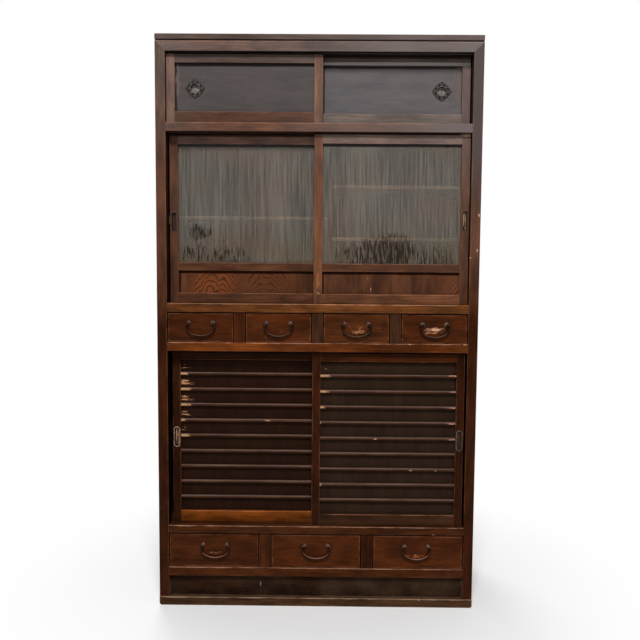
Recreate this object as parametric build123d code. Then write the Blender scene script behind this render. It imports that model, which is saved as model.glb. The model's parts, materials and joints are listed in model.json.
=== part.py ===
from build123d import *
import os
from math import sqrt

# A mizuya: a tall kitchen cabinet in lacquered wood, with five tiers of sliding doors and drawers.
# Millimetres. +Z is up, the front faces -Y, +X is to the right of someone facing the cabinet.
# The origin is on the floor under the middle of the case.

# ---------------------------------------------------------------- case sizes
case_width = 1000.0
case_depth = 420.0
post_width = 31.0
front_post_depth = 44.0
rear_post_depth = 36.0

# Heights of the tiers and rails, from the floor up.
base_rail_height = 27.0
kick_height = 69.0
bottom_rail_height = 29.0
large_drawer_opening = 111.0
lower_sill_height = 25.0
slatted_door_opening = 559.0
lower_head_height = 28.0
small_drawer_opening = 94.5
middle_rail_height = 27.5
glass_door_opening = 527.0
upper_sill_height = 27.0
upper_door_opening = 212.5
top_rail_height = 30.5
top_board_thickness = 21.0

# Boards of the case.
top_quirk_height = 5.0
top_quirk_depth = 6.0
bottom_rail_depth = 40.0
track_rail_behind_doors = 9.0
rear_rail_depth = 22.0
side_panel_thickness = 8.0
side_panel_recess = 5.0
panel_groove_depth = 6.0
back_board_thickness = 7.0
back_board_count = 5
back_board_gap = 1.0
rebate_depth = 10.0
deck_thickness = 12.0
kick_recess = 14.0
kick_thickness = 14.0
base_front_depth = 62.0
base_rear_depth = 40.0
base_side_width = 44.0
base_reveal = 2.5
base_corner_relief = 6.0
small_divider_width = 34.0
large_divider_width = 37.0
divider_depth = 26.0
guide_height = 20.0
case_tenon_length = 12.0
case_tenon_thickness = 14.0
case_tenon_shoulder = 5.0
tenon_end_room = 1.0
post_ease = 1.4
rail_ease = 0.9

# Boards inside the tiers.
partition_x = 36.0
partition_thickness = 15.0
china_shelf_thickness = 11.0
left_china_shelf_height = 264.0
right_upper_china_shelf_height = 366.0
right_lower_china_shelf_height = 199.0
shelf_front_setback = 118.0
pantry_shelf_height = 285.0
pantry_shelf_thickness = 13.0
pantry_shelf_setback = 130.0
cleat_width = 30.0
cleat_height = 14.0
shelf_housing = 5.0

# ---------------------------------------------------------------- sliding doors
door_overlap = 22.0
door_thickness = 21.0
door_setback = 16.0
door_track_gap = 3.0
door_stile_width = 26.0
door_head_gap = 5.0
door_foot_gap = 0.5
door_ease = 0.9
door_tenon_length = 18.0
door_tenon_thickness = 6.0
door_tenon_shoulder = 8.0
door_groove_depth = 6.0
panel_edge_room = 0.5

tongue_thickness = 8.0
tongue_side_gap = 0.4
tongue_seat_gap = 0.3
sill_track_depth = 4.0
head_track_depth = 12.0
head_tongue_reach = 6.5

upper_door_top_rail = 26.0
upper_door_bottom_rail = 35.0
upper_panel_recess = 10.0
upper_panel_thickness = 6.0

glass_door_top_rail = 28.0
glass_door_middle_rail = 25.0
glass_door_bottom_rail = 31.0
glass_door_panel_height = 70.0
pane_recess = 8.0
pane_thickness = 3.0
glass_door_panel_thickness = 6.0

slatted_door_top_rail = 27.0
slatted_door_bottom_rail = 35.5
slat_count = 9
slat_height = 9.0
slat_depth = 9.0
slat_recess = 2.0
slat_tenon = 5.0
slat_ease = 0.8
slatted_panel_recess = 12.0
slatted_panel_thickness = 5.0

# How far each closed door stands from the post beside it.
upper_left_door_gap = 0.7
upper_right_door_gap = 2.5
glass_left_door_gap = 4.2
glass_right_door_gap = 2.0
slatted_left_door_gap = 8.0
slatted_right_door_gap = 4.3

# Round finger cups in lozenge plates, on the upper doors.
lozenge_diagonal = 60.0
lozenge_corner_radius = 7.0
lozenge_thickness = 1.6
round_cup_radius = 13.5
round_cup_depth = 7.5
round_cup_rim_width = 3.0
round_cup_rim_height = 1.4
upper_pull_inset = 87.0
upper_pull_height = 105.5

# Oblong finger cups, on the other doors.
oblong_cup_width = 12.0
oblong_cup_height = 58.0
oblong_cup_depth = 7.0
oblong_cup_flange = 4.0
oblong_cup_flange_thickness = 0.9
cup_wall = 1.0
cup_fit_gap = 0.2
glass_left_pull_height = 253.0
glass_right_pull_height = 261.0
slatted_pull_height = 278.0

# ---------------------------------------------------------------- drawers
drawer_side_gap = 1.5
drawer_top_gap = 2.2
drawer_foot_gap = 0.3
drawer_inset = 2.5
drawer_rear_room = 38.5
drawer_front_thickness = 18.0
drawer_side_thickness = 9.0
drawer_bottom_thickness = 5.0
drawer_lap = 9.0
drawer_side_drop = 6.0
drawer_front_ease = 1.3
small_drawer_count = 4
large_drawer_count = 3

# Bail handles.
handle_spacing = 74.0
small_handle_above_middle = 15.0
large_handle_above_middle = 19.5
handle_standoff = 8.5
large_handle_shifts = (3.0, 0.0, -6.0)
bail_radius = 2.8
bail_pin_inner = 3.2
bail_curl_radius = 6.0
bail_upright = 3.5
bail_side_radius = 25.0
bail_foot_radius = 64.0
bail_foot_turn = 30.0
bail_upright_turn = 95.0
eye_radius = 5.0
eye_thickness = 3.2
eye_running_gap = 0.3
eye_neck_radius = 2.4
rosette_radius = 7.5
rosette_thickness = 1.6
shank_radius = 2.0
shank_gap = 0.2
inner_washer_radius = 6.0
inner_washer_thickness = 1.0
clinch_length = 9.0
clinch_width = 3.0
clinch_thickness = 1.2

# ---------------------------------------------------------------- levels worked out from the sizes
bottom_rail_z = base_rail_height + kick_height
large_drawer_z = bottom_rail_z + bottom_rail_height
lower_sill_z = large_drawer_z + large_drawer_opening
slatted_door_z = lower_sill_z + lower_sill_height
lower_head_z = slatted_door_z + slatted_door_opening
small_drawer_z = lower_head_z + lower_head_height
middle_rail_z = small_drawer_z + small_drawer_opening
glass_door_z = middle_rail_z + middle_rail_height
upper_sill_z = glass_door_z + glass_door_opening
upper_door_z = upper_sill_z + upper_sill_height
top_rail_z = upper_door_z + upper_door_opening
top_board_z = top_rail_z + top_rail_height
case_height = top_board_z + top_board_thickness

outer_x = case_width / 2
inner_x = outer_x - post_width
front_y = -case_depth / 2
back_y = case_depth / 2
back_board_y = back_y - back_board_thickness
rear_rail_y = back_board_y - rear_rail_depth
front_post_back_y = front_y + front_post_depth
rear_post_front_y = back_y - rear_post_depth
front_track_y = front_y + door_setback
back_track_y = front_track_y + door_thickness + door_track_gap
track_rail_depth = back_track_y + door_thickness + track_rail_behind_doors - front_y
track_rail_back_y = front_y + track_rail_depth
door_width = (2 * inner_x + door_overlap) / 2
drawer_length = back_board_y - drawer_rear_room - (front_y + drawer_inset)
side_panel_outer_x = outer_x - side_panel_recess
side_panel_inner_x = side_panel_outer_x - side_panel_thickness

nodes = {}


# ---------------------------------------------------------------- helpers
def block(x_range, y_range, z_range):
    """A straight board between three pairs of coordinates."""
    ranges = (x_range, y_range, z_range)
    size = [high - low for low, high in ranges]
    middle = [(high + low) / 2 for low, high in ranges]
    return Pos(*middle) * Box(*size)


def ease_front(board, amount, direction=None):
    """Take the sharp corner off the edges of a board's front face, all or along one direction."""
    edges = board.faces().sort_by(Axis.Y)[0].edges()
    if direction is not None:
        edges = edges.filter_by(direction)
    return chamfer(edges, amount)


def mirrored(solid):
    """The same piece on the other side of the cabinet."""
    return mirror(solid, about=Plane.YZ)


def add_node(name, solids):
    """Keep the separate solids of one named sub-part."""
    pieces = [piece for solid in solids for piece in solid.solids()]
    nodes[name] = pieces[0] if len(pieces) == 1 else Compound(pieces)


# ---------------------------------------------------------------- case: base
def make_base():
    """Four rails flat on the floor: the front one runs across under the posts."""
    front_low_y = front_y - base_reveal
    front_high_y = front_low_y + base_front_depth
    rear_low_y = back_y - base_rear_depth
    front = block((-outer_x, outer_x), (front_low_y, front_high_y), (0, base_rail_height))
    ends = front.edges().filter_by(Axis.Y).group_by(Axis.Z)[0]
    front = chamfer(ends, base_corner_relief)
    top_edge = front.faces().sort_by(Axis.Y)[0].edges().sort_by(Axis.Z)[-1]
    front = chamfer(top_edge, rail_ease)
    rear = block((-outer_x, outer_x), (rear_low_y, back_y), (0, base_rail_height))
    side_x = (-outer_x, -outer_x + base_side_width)
    side = block(side_x, (front_high_y, rear_low_y), (0, base_rail_height))
    add_node("base_frame", [front, rear, side, mirrored(side)])


# ---------------------------------------------------------------- case: cross rails
def case_tenon(z_low, height, side, room):
    """A cross rail's tenon in the left (-1) or right (+1) front post; room makes it the mortise."""
    ends = sorted((side * inner_x, side * (inner_x + case_tenon_length + room)))
    middle_y = front_y + front_post_depth / 2
    y_range = (middle_y - case_tenon_thickness / 2, middle_y + case_tenon_thickness / 2)
    z_range = (z_low + case_tenon_shoulder, z_low + height - case_tenon_shoulder)
    return block(ends, y_range, z_range)


def tracks(z_low, z_high):
    """The two parallel grooves that door tongues ride in, along the whole opening."""
    half_groove = tongue_thickness / 2 + tongue_side_gap
    grooves = []
    for face_y in (front_track_y, back_track_y):
        middle_y = face_y + door_thickness / 2
        y_range = (middle_y - half_groove, middle_y + half_groove)
        grooves.append(block((-inner_x, inner_x), y_range, (z_low, z_high)))
    return grooves


def deck_rebate(z_top, rail_back_y):
    """The step in the top back edge of a rail, where a deck lies."""
    y_range = (rail_back_y - rebate_depth, rail_back_y)
    return block((-inner_x, inner_x), y_range, (z_top - deck_thickness, z_top))


def cross_rail(z_low, height, depth, has_sill_tracks, has_head_tracks, has_deck):
    """A rail between the front posts, with what is cut in it."""
    z_top = z_low + height
    rail = block((-inner_x, inner_x), (front_y, front_y + depth), (z_low, z_top))
    rail = ease_front(rail, rail_ease, Axis.X)
    for side in (-1, 1):
        rail += case_tenon(z_low, height, side, 0)
    if has_sill_tracks:
        for groove in tracks(z_top - sill_track_depth, z_top):
            rail -= groove
    if has_head_tracks:
        for groove in tracks(z_low, z_low + head_track_depth):
            rail -= groove
    if has_deck:
        rail -= deck_rebate(z_top, front_y + depth)
    return rail


cross_rails = {
    "bottom_rail": (bottom_rail_z, bottom_rail_height, bottom_rail_depth, False, False, True),
    "lower_sill": (lower_sill_z, lower_sill_height, track_rail_depth, True, False, True),
    "lower_head": (lower_head_z, lower_head_height, track_rail_depth, False, True, True),
    "middle_rail": (middle_rail_z, middle_rail_height, track_rail_depth, True, False, True),
    "upper_sill": (upper_sill_z, upper_sill_height, track_rail_depth, True, True, True),
}


def mitre_wedge(side):
    """The triangle of the top rail that covers the top of a front post."""
    corner = (side * inner_x, top_rail_z)
    outline = Polyline(corner, (side * inner_x, top_board_z), (side * outer_x, top_board_z), close=True)
    face = Plane(origin=(0, front_post_back_y, 0), x_dir=(1, 0, 0), z_dir=(0, -1, 0)) * make_face(outline)
    return extrude(face, amount=front_post_depth)


def make_top_rail():
    """The head of the upper doors, mitred into both front posts."""
    y_range = (front_y, track_rail_back_y)
    rail = block((-inner_x, inner_x), y_range, (top_rail_z, top_board_z))
    rail += mitre_wedge(-1)
    rail += mitre_wedge(1)
    for groove in tracks(top_rail_z, top_rail_z + head_track_depth):
        rail -= groove
    add_node("top_rail", [rail])


# ---------------------------------------------------------------- case: sides
side_rail_levels = [
    (lower_sill_z, lower_sill_height),
    (lower_head_z, lower_head_height),
    (middle_rail_z, middle_rail_height),
    (upper_sill_z, upper_sill_height),
    (top_rail_z, top_rail_height),
]


def side_panel_spaces():
    """The heights between the side rails, from the base rail up."""
    spaces = []
    z_low = base_rail_height
    for z_rail, height in side_rail_levels:
        spaces.append((z_low, z_rail))
        z_low = z_rail + height
    return spaces


def side_panel(z_low, z_high, room):
    """A thin side panel in its grooves; room is what it lacks of their depth."""
    reach = panel_groove_depth - room
    x_range = (-side_panel_outer_x, -side_panel_inner_x)
    y_range = (front_post_back_y - reach, rear_post_front_y + reach)
    low_reach = 0 if z_low == base_rail_height else reach
    return block(x_range, y_range, (z_low - low_reach, z_high + reach))


def make_left_front_post():
    """Stands on the base rail; grooved for the side panels and mortised for the rails."""
    x_range = (-outer_x, -inner_x)
    post = block(x_range, (front_y, front_post_back_y), (base_rail_height, top_board_z))
    post = ease_front(post, post_ease, Axis.Z)
    post -= mitre_wedge(-1)
    for z_low, height, *_ in cross_rails.values():
        post -= case_tenon(z_low, height, -1, tenon_end_room)
    for z_low, z_high in side_panel_spaces():
        post -= side_panel(z_low, z_high, 0)
    return post


def side_rail(z_low, height, is_deck_level):
    """A level rail between the front and the rear post, stepped for the deck's end."""
    y_range = (front_post_back_y, rear_post_front_y)
    rail = block((-outer_x, -inner_x), y_range, (z_low, z_low + height))
    for space_low, space_high in side_panel_spaces():
        rail -= side_panel(space_low, space_high, 0)
    if is_deck_level:
        step_x = (-inner_x - rebate_depth, -inner_x)
        step_z = (z_low + height - deck_thickness, z_low + height)
        rail -= block(step_x, y_range, step_z)
    return rail


def make_side_and_rear_framing():
    """Rear posts, the side rails between front and rear posts, and the rear rails."""
    post = block((-outer_x, -inner_x), (rear_post_front_y, back_y), (base_rail_height, top_board_z))
    for z_low, z_high in side_panel_spaces():
        post -= side_panel(z_low, z_high, 0)
    rebate_x = (-inner_x - rebate_depth, -inner_x)
    post -= block(rebate_x, (back_board_y, back_y), (base_rail_height, top_board_z))
    pieces = [post, mirrored(post)]
    for z_low, height in side_rail_levels:
        rail = side_rail(z_low, height, z_low < top_rail_z)
        pieces += [rail, mirrored(rail)]
    rear_levels = [(z, height) for z, height, *_ in cross_rails.values()]
    for z_low, height in rear_levels:
        z_range = (z_low, z_low + height - deck_thickness)
        pieces.append(block((-inner_x, inner_x), (rear_rail_y, back_board_y), z_range))
    z_range = (top_rail_z, top_board_z)
    pieces.append(block((-inner_x, inner_x), (rear_rail_y, back_board_y), z_range))
    add_node("side_and_rear_framing", pieces)


def make_side_panels():
    """Five thin panels on each side."""
    pieces = []
    for z_low, z_high in side_panel_spaces():
        panel = side_panel(z_low, z_high, panel_edge_room)
        pieces += [panel, mirrored(panel)]
    add_node("side_panels", pieces)


def make_back_boards():
    """Upright boards side by side, in the rebates of the rear posts."""
    span = 2 * (inner_x + rebate_depth)
    width = (span - back_board_gap * (back_board_count - 1)) / back_board_count
    boards = []
    for index in range(back_board_count):
        x_low = -span / 2 + index * (width + back_board_gap)
        z_range = (base_rail_height, top_board_z)
        boards.append(block((x_low, x_low + width), (back_board_y, back_y), z_range))
    add_node("back_boards", boards)


def make_top_board():
    """The thin top, with a square quirk under its front edge that draws a dark line."""
    board = block((-outer_x, outer_x), (front_y, back_y), (top_board_z, case_height))
    quirk_y = (front_y, front_y + top_quirk_depth)
    board -= block((-outer_x, outer_x), quirk_y, (top_board_z, top_board_z + top_quirk_height))
    top_edges = board.faces().sort_by(Axis.Z)[-1].edges()
    board = chamfer(top_edges, rail_ease)
    add_node("top_board", [board])


def make_kick_board():
    """The board set back between the base rail and the bottom rail."""
    y_low = front_y + kick_recess
    z_range = (base_rail_height, bottom_rail_z)
    add_node("kick_board", [block((-inner_x, inner_x), (y_low, y_low + kick_thickness), z_range)])


# ---------------------------------------------------------------- case: decks, dividers, shelves
def make_decks():
    """The floor of each tier, from its front rail to the back boards."""
    decks = []
    for name, (z_low, height, depth, *_) in cross_rails.items():
        z_top = z_low + height
        is_bottom = name == "bottom_rail"
        half_span = inner_x if is_bottom else inner_x + rebate_depth
        z_range = (z_top - deck_thickness, z_top)
        front_low_y = front_y + depth - rebate_depth
        middle = block((-inner_x, inner_x), (front_low_y, back_board_y), z_range)
        if not is_bottom:
            side_y = (max(front_y + depth, front_post_back_y), rear_post_front_y)
            middle += block((-half_span, half_span), side_y, z_range)
        decks.append(middle)
    add_node("decks", decks)


def drawer_openings(count, divider_width):
    """The left edge of each drawer opening in a tier, and the width they share."""
    width = (2 * inner_x - (count - 1) * divider_width) / count
    return [-inner_x + index * (width + divider_width) for index in range(count)], width


def tier_dividers(count, divider_width, z_low, opening_height):
    """Short posts between the drawers, with a low guide behind each and at both ends."""
    lefts, width = drawer_openings(count, divider_width)
    pieces = []
    z_range = (z_low, z_low + opening_height)
    guide_z = (z_low, z_low + guide_height)
    for left in lefts[:-1]:
        x_range = (left + width, left + width + divider_width)
        post = block(x_range, (front_y, front_y + divider_depth), z_range)
        post = ease_front(post, rail_ease, Axis.Z)
        pieces.append(post)
        pieces.append(block(x_range, (front_y + divider_depth, back_board_y), guide_z))
    end_x = (-side_panel_inner_x, -inner_x)
    end = block(end_x, (front_post_back_y, rear_post_front_y), guide_z)
    return pieces + [end, mirrored(end)]


def make_drawer_dividers():
    """The dividers and guides of both drawer tiers."""
    small = tier_dividers(small_drawer_count, small_divider_width, small_drawer_z, small_drawer_opening)
    large = tier_dividers(large_drawer_count, large_divider_width, large_drawer_z, large_drawer_opening)
    add_node("drawer_dividers", small + large)


def china_shelf(side, height):
    """A shelf of the glass tier, from its housing in the partition to the side."""
    z_low = glass_door_z + height
    near_x = partition_x + side * (partition_thickness / 2 - shelf_housing)
    far_x = side * side_panel_inner_x
    y_range = (front_y + shelf_front_setback, rear_post_front_y)
    shelf = block(sorted((near_x, far_x)), y_range, (z_low, z_low + china_shelf_thickness))
    return ease_front(shelf, rail_ease, Axis.X)


def shelf_cleat(side, z_shelf, setback):
    """The batten that carries a shelf's end at the side of the case."""
    x_range = sorted((side * (side_panel_inner_x - cleat_width), side * side_panel_inner_x))
    y_range = (front_y + setback, rear_post_front_y)
    return block(x_range, y_range, (z_shelf - cleat_height, z_shelf))


def make_inner_shelves():
    """The partition and staggered shelves behind the glass, and the pantry shelf below."""
    half = partition_thickness / 2
    partition_y = (track_rail_back_y, back_board_y)
    partition_z = (glass_door_z, upper_door_z - deck_thickness)
    partition_x_range = (partition_x - half, partition_x + half)
    partition = block(partition_x_range, partition_y, partition_z)
    partition -= block(partition_x_range, (rear_rail_y, back_board_y), (upper_sill_z, partition_z[1]))
    pieces = []
    shelf_heights = [
        (-1, left_china_shelf_height),
        (1, right_upper_china_shelf_height),
        (1, right_lower_china_shelf_height),
    ]
    for side, height in shelf_heights:
        shelf = china_shelf(side, height)
        partition -= shelf
        pieces.append(shelf)
        pieces.append(shelf_cleat(side, glass_door_z + height, shelf_front_setback))
    pieces.append(partition)
    pantry_z = slatted_door_z + pantry_shelf_height
    pantry_x = (-side_panel_inner_x, side_panel_inner_x)
    pantry_y = (front_y + pantry_shelf_setback, rear_post_front_y)
    pieces.append(block(pantry_x, pantry_y, (pantry_z, pantry_z + pantry_shelf_thickness)))
    for side in (-1, 1):
        pieces.append(shelf_cleat(side, pantry_z, pantry_shelf_setback))
    add_node("inner_shelves", pieces)


def make_case():
    """Every fixed piece."""
    make_base()
    make_kick_board()
    for name, sizes in cross_rails.items():
        add_node(name, [cross_rail(*sizes)])
    make_top_rail()
    post = make_left_front_post()
    add_node("left_front_post", [post])
    add_node("right_front_post", [mirrored(post)])
    make_side_and_rear_framing()
    make_side_panels()
    make_back_boards()
    make_top_board()
    make_decks()
    make_drawer_dividers()
    make_inner_shelves()


# ---------------------------------------------------------------- sliding doors
class Door:
    """Where one sliding door stands when it is closed, and the levels of its rails."""

    def __init__(self, name, side, is_front, gap, sill_z, opening):
        self.name = name
        self.side = side
        self.face_y = front_track_y if is_front else back_track_y
        edge = inner_x - gap
        self.low_x = -edge if side < 0 else edge - door_width
        self.high_x = self.low_x + door_width
        self.inner_low_x = self.low_x + door_stile_width
        self.inner_high_x = self.high_x - door_stile_width
        self.sill_z = sill_z
        self.head_z = sill_z + opening
        self.low_z = sill_z + door_foot_gap
        self.high_z = self.head_z - door_head_gap

    def depth(self, low, high):
        """A range of Y counted back from the face of the door."""
        return (self.face_y + low, self.face_y + high)

    def tongue_y(self):
        """The range of Y of the tongues."""
        middle = door_thickness / 2
        return self.depth(middle - tongue_thickness / 2, middle + tongue_thickness / 2)

    def pull_x(self):
        """The middle of the stile that holds the finger cup."""
        half = door_stile_width / 2
        return self.low_x + half if self.side < 0 else self.high_x - half


def foot_tongue(door, x_range):
    """The tongue that rides in the sill."""
    z_low = door.sill_z - sill_track_depth + tongue_seat_gap
    return block(x_range, door.tongue_y(), (z_low, door.low_z))


def head_tongue(door, x_range):
    """The longer tongue in the head, with room above to lift the door out."""
    return block(x_range, door.tongue_y(), (door.high_z, door.head_z + head_tongue_reach))


def door_tenon(door, z_low, z_high, room):
    """Both tenons of a rail; room makes them the mortises instead."""
    middle = door_thickness / 2
    y_range = door.depth(middle - door_tenon_thickness / 2, middle + door_tenon_thickness / 2)
    z_range = (z_low + door_tenon_shoulder, z_high - door_tenon_shoulder)
    reach = door_tenon_length + room
    left = block((door.inner_low_x - reach, door.inner_low_x), y_range, z_range)
    right = block((door.inner_high_x, door.inner_high_x + reach), y_range, z_range)
    return [left, right]


def door_stile(door, low_x):
    """One upright of a door, with a tongue at each end."""
    x_range = (low_x, low_x + door_stile_width)
    stile = block(x_range, door.depth(0, door_thickness), (door.low_z, door.high_z))
    stile = ease_front(stile, door_ease, Axis.Z)
    stile += foot_tongue(door, x_range)
    stile += head_tongue(door, x_range)
    return stile


def door_rail(door, z_low, z_high):
    """One level rail of a door, with its tenons."""
    x_range = (door.inner_low_x, door.inner_high_x)
    rail = block(x_range, door.depth(0, door_thickness), (z_low, z_high))
    rail = ease_front(rail, door_ease, Axis.X)
    for tenon in door_tenon(door, z_low, z_high, 0):
        rail += tenon
    if z_low == door.low_z:
        rail += foot_tongue(door, x_range)
    if z_high == door.high_z:
        rail += head_tongue(door, x_range)
    return rail


def fill(door, z_low, z_high, recess, thickness, room):
    """A panel or pane in the grooves round a space; room is what it lacks of their depth."""
    reach = door_groove_depth - room
    x_range = (door.inner_low_x - reach, door.inner_high_x + reach)
    return block(x_range, door.depth(recess, recess + thickness), (z_low - reach, z_high + reach))


def door_frame(door, rail_levels, fills, cuts):
    """The stiles and rails of a door, cut for its panels and for what else it holds."""
    grooves = [fill(door, *space, 0) for space in fills]
    mortises = []
    for z_low, z_high in rail_levels:
        mortises += door_tenon(door, z_low, z_high, tenon_end_room)
    stiles = [door_stile(door, door.low_x), door_stile(door, door.inner_high_x)]
    rails = [door_rail(door, z_low, z_high) for z_low, z_high in rail_levels]
    pieces = []
    for stile in stiles:
        for cutter in grooves + mortises + cuts:
            stile -= cutter
        pieces.append(stile)
    for rail in rails:
        for groove in grooves:
            rail -= groove
        pieces.append(rail)
    add_node(door.name + "_frame", pieces)


# ---------------------------------------------------------------- finger cups
def facing(x, y, z):
    """A drawing plane that faces the front, from which extrusions go back into the door."""
    return Plane(origin=(x, y, z), x_dir=(1, 0, 0), z_dir=(0, 1, 0))


def oblong(width, height, x, y, z, depth):
    """A bar with round ends, from y back by depth."""
    outline = RectangleRounded(width, height, width / 2 - 0.01)
    return extrude(facing(x, y, z) * outline, amount=depth)


def oblong_pull(x, y, z):
    """An oblong finger cup: a thin flange on the stile and a hollow cup behind it."""
    flange_width = oblong_cup_width + 2 * oblong_cup_flange
    flange_height = oblong_cup_height + 2 * oblong_cup_flange
    flange_y = y - oblong_cup_flange_thickness
    flange = oblong(flange_width, flange_height, x, flange_y, z, oblong_cup_flange_thickness)
    rim = flange.faces().sort_by(Axis.Y)[0].edges()
    flange = chamfer(rim, oblong_cup_flange_thickness / 2)
    outer_width = oblong_cup_width + 2 * cup_wall
    outer_height = oblong_cup_height + 2 * cup_wall
    cup = oblong(outer_width, outer_height, x, y, z, oblong_cup_depth + cup_wall)
    hollow = oblong(oblong_cup_width, oblong_cup_height, x, flange_y, z,
                    oblong_cup_depth + oblong_cup_flange_thickness)
    return flange + cup - hollow


def oblong_pocket(x, y, z):
    """The hole in the stile for an oblong cup."""
    margin = 2 * (cup_wall + cup_fit_gap)
    depth = oblong_cup_depth + cup_wall + cup_fit_gap
    return oblong(oblong_cup_width + margin, oblong_cup_height + margin, x, y, z, depth)


def disc(radius, x, y, z, depth):
    """A round disc or peg, from y back by depth."""
    return extrude(facing(x, y, z) * Circle(radius), amount=depth)


def lozenge_pull(x, y, z):
    """A round finger cup in a lozenge plate with soft corners."""
    side = lozenge_diagonal / sqrt(2) + lozenge_corner_radius * (2 - sqrt(2))
    outline = Rot(0, 0, 45) * RectangleRounded(side, side, lozenge_corner_radius)
    plate = extrude(facing(x, y - lozenge_thickness, z) * outline, amount=lozenge_thickness)
    rim = plate.faces().sort_by(Axis.Y)[0].edges()
    plate = chamfer(rim, lozenge_thickness / 2)
    ring_y = y - lozenge_thickness - round_cup_rim_height
    ring = disc(round_cup_radius + round_cup_rim_width, x, ring_y, z, round_cup_rim_height)
    cup = disc(round_cup_radius + cup_wall, x, y, z, round_cup_depth + cup_wall)
    hollow = disc(round_cup_radius, x, ring_y, z, round_cup_depth + y - ring_y)
    return plate + ring + cup - hollow


def make_upper_door(name, side, is_front, gap):
    """A low door with a plain panel and a lozenge pull."""
    door = Door(name, side, is_front, gap, upper_door_z, upper_door_opening)
    bottom_top = door.sill_z + upper_door_bottom_rail
    top_bottom = door.high_z - upper_door_top_rail
    space = (bottom_top, top_bottom, upper_panel_recess, upper_panel_thickness)
    rails = [(door.low_z, bottom_top), (top_bottom, door.high_z)]
    door_frame(door, rails, [space], [])
    edge_x = door.low_x if side < 0 else door.high_x
    pull_x = edge_x - side * upper_pull_inset
    pull_y = door.face_y + upper_panel_recess
    pull_z = door.sill_z + upper_pull_height
    hole = disc(round_cup_radius + cup_wall + cup_fit_gap, pull_x, pull_y, pull_z, upper_panel_thickness)
    add_node(name + "_panel", [fill(door, *space, panel_edge_room) - hole])
    add_node(name + "_pull", [lozenge_pull(pull_x, pull_y, pull_z)])


def make_glass_door(name, side, is_front, gap, pull_height):
    """A door with a tall pane over a low wooden panel."""
    door = Door(name, side, is_front, gap, glass_door_z, glass_door_opening)
    bottom_top = door.sill_z + glass_door_bottom_rail
    middle_low = bottom_top + glass_door_panel_height
    middle_top = middle_low + glass_door_middle_rail
    top_bottom = door.high_z - glass_door_top_rail
    pane = (middle_top, top_bottom, pane_recess, pane_thickness)
    panel = (bottom_top, middle_low, pane_recess, glass_door_panel_thickness)
    rails = [(door.low_z, bottom_top), (middle_low, middle_top), (top_bottom, door.high_z)]
    pull_z = door.sill_z + pull_height
    pocket = oblong_pocket(door.pull_x(), door.face_y, pull_z)
    door_frame(door, rails, [pane, panel], [pocket])
    add_node(name + "_pane", [fill(door, *pane, panel_edge_room)])
    add_node(name + "_panel", [fill(door, *panel, panel_edge_room)])
    add_node(name + "_pull", [oblong_pull(door.pull_x(), door.face_y, pull_z)])


def slat_blocks(door, z_low, z_high, has_ease):
    """Level slats at an even pitch, tenoned into both stiles."""
    space = (z_high - z_low - slat_count * slat_height) / (slat_count + 1)
    x_range = (door.inner_low_x - slat_tenon, door.inner_high_x + slat_tenon)
    slats = []
    for index in range(slat_count):
        slat_z = z_low + space + index * (slat_height + space)
        y_range = door.depth(slat_recess, slat_recess + slat_depth)
        slat = block(x_range, y_range, (slat_z, slat_z + slat_height))
        slats.append(ease_front(slat, slat_ease, Axis.X) if has_ease else slat)
    return slats


def make_slatted_door(name, side, is_front, gap, pull_height):
    """A door with level slats in front of a dark panel."""
    door = Door(name, side, is_front, gap, slatted_door_z, slatted_door_opening)
    bottom_top = door.sill_z + slatted_door_bottom_rail
    top_bottom = door.high_z - slatted_door_top_rail
    panel = (bottom_top, top_bottom, slatted_panel_recess, slatted_panel_thickness)
    rails = [(door.low_z, bottom_top), (top_bottom, door.high_z)]
    pull_z = door.sill_z + pull_height
    pocket = oblong_pocket(door.pull_x(), door.face_y, pull_z)
    slats = slat_blocks(door, bottom_top, top_bottom, True)
    mortises = slat_blocks(door, bottom_top, top_bottom, False)
    door_frame(door, rails, [panel], [pocket] + mortises)
    add_node(name + "_panel", [fill(door, *panel, panel_edge_room)])
    add_node(name + "_slats", slats)
    add_node(name + "_pull", [oblong_pull(door.pull_x(), door.face_y, pull_z)])


def make_doors():
    """Three pairs of doors; in each pair one runs in the front track and one in the back."""
    make_upper_door("upper_left_door", -1, True, upper_left_door_gap)
    make_upper_door("upper_right_door", 1, False, upper_right_door_gap)
    make_glass_door("glass_left_door", -1, False, glass_left_door_gap, glass_left_pull_height)
    make_glass_door("glass_right_door", 1, True, glass_right_door_gap, glass_right_pull_height)
    make_slatted_door("slatted_left_door", -1, False, slatted_left_door_gap, slatted_pull_height)
    make_slatted_door("slatted_right_door", 1, True, slatted_right_door_gap, slatted_pull_height)


# ---------------------------------------------------------------- drawers
def bail(x, y, z):
    """A round bar bent into a shallow bow, its ends turned in through the eyes."""
    post_x = handle_spacing / 2
    side_turn = bail_upright_turn - bail_foot_turn
    curl_turn = 180 - bail_upright_turn
    plane = Plane(origin=(x, y, z), x_dir=(1, 0, 0), z_dir=(0, -1, 0))
    steps = [
        (bail_curl_radius, -curl_turn),
        (bail_side_radius, -side_turn),
        (bail_foot_radius, -2 * bail_foot_turn),
        (bail_side_radius, -side_turn),
        (bail_curl_radius, -curl_turn),
    ]
    pin_start = (post_x - bail_pin_inner, 0)
    path = [Line(pin_start, (post_x + eye_thickness / 2, 0))]
    for index, (radius, turn) in enumerate(steps):
        path.append(JernArc(start=path[-1] @ 1, tangent=path[-1] % 1, radius=radius, arc_size=turn))
        if index in (0, 3):
            end = path[-1] @ 1
            path.append(Line(end, end + (path[-1] % 1) * bail_upright))
    end = path[-1] @ 1
    path.append(Line(end, end + (path[-1] % 1) * (eye_thickness / 2 + bail_pin_inner)))
    wire = plane * Wire([edge for curve in path for edge in curve.edges()])
    section = Plane(origin=wire @ 0, z_dir=wire % 0) * Circle(bail_radius)
    return sweep(section, path=wire)


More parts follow.
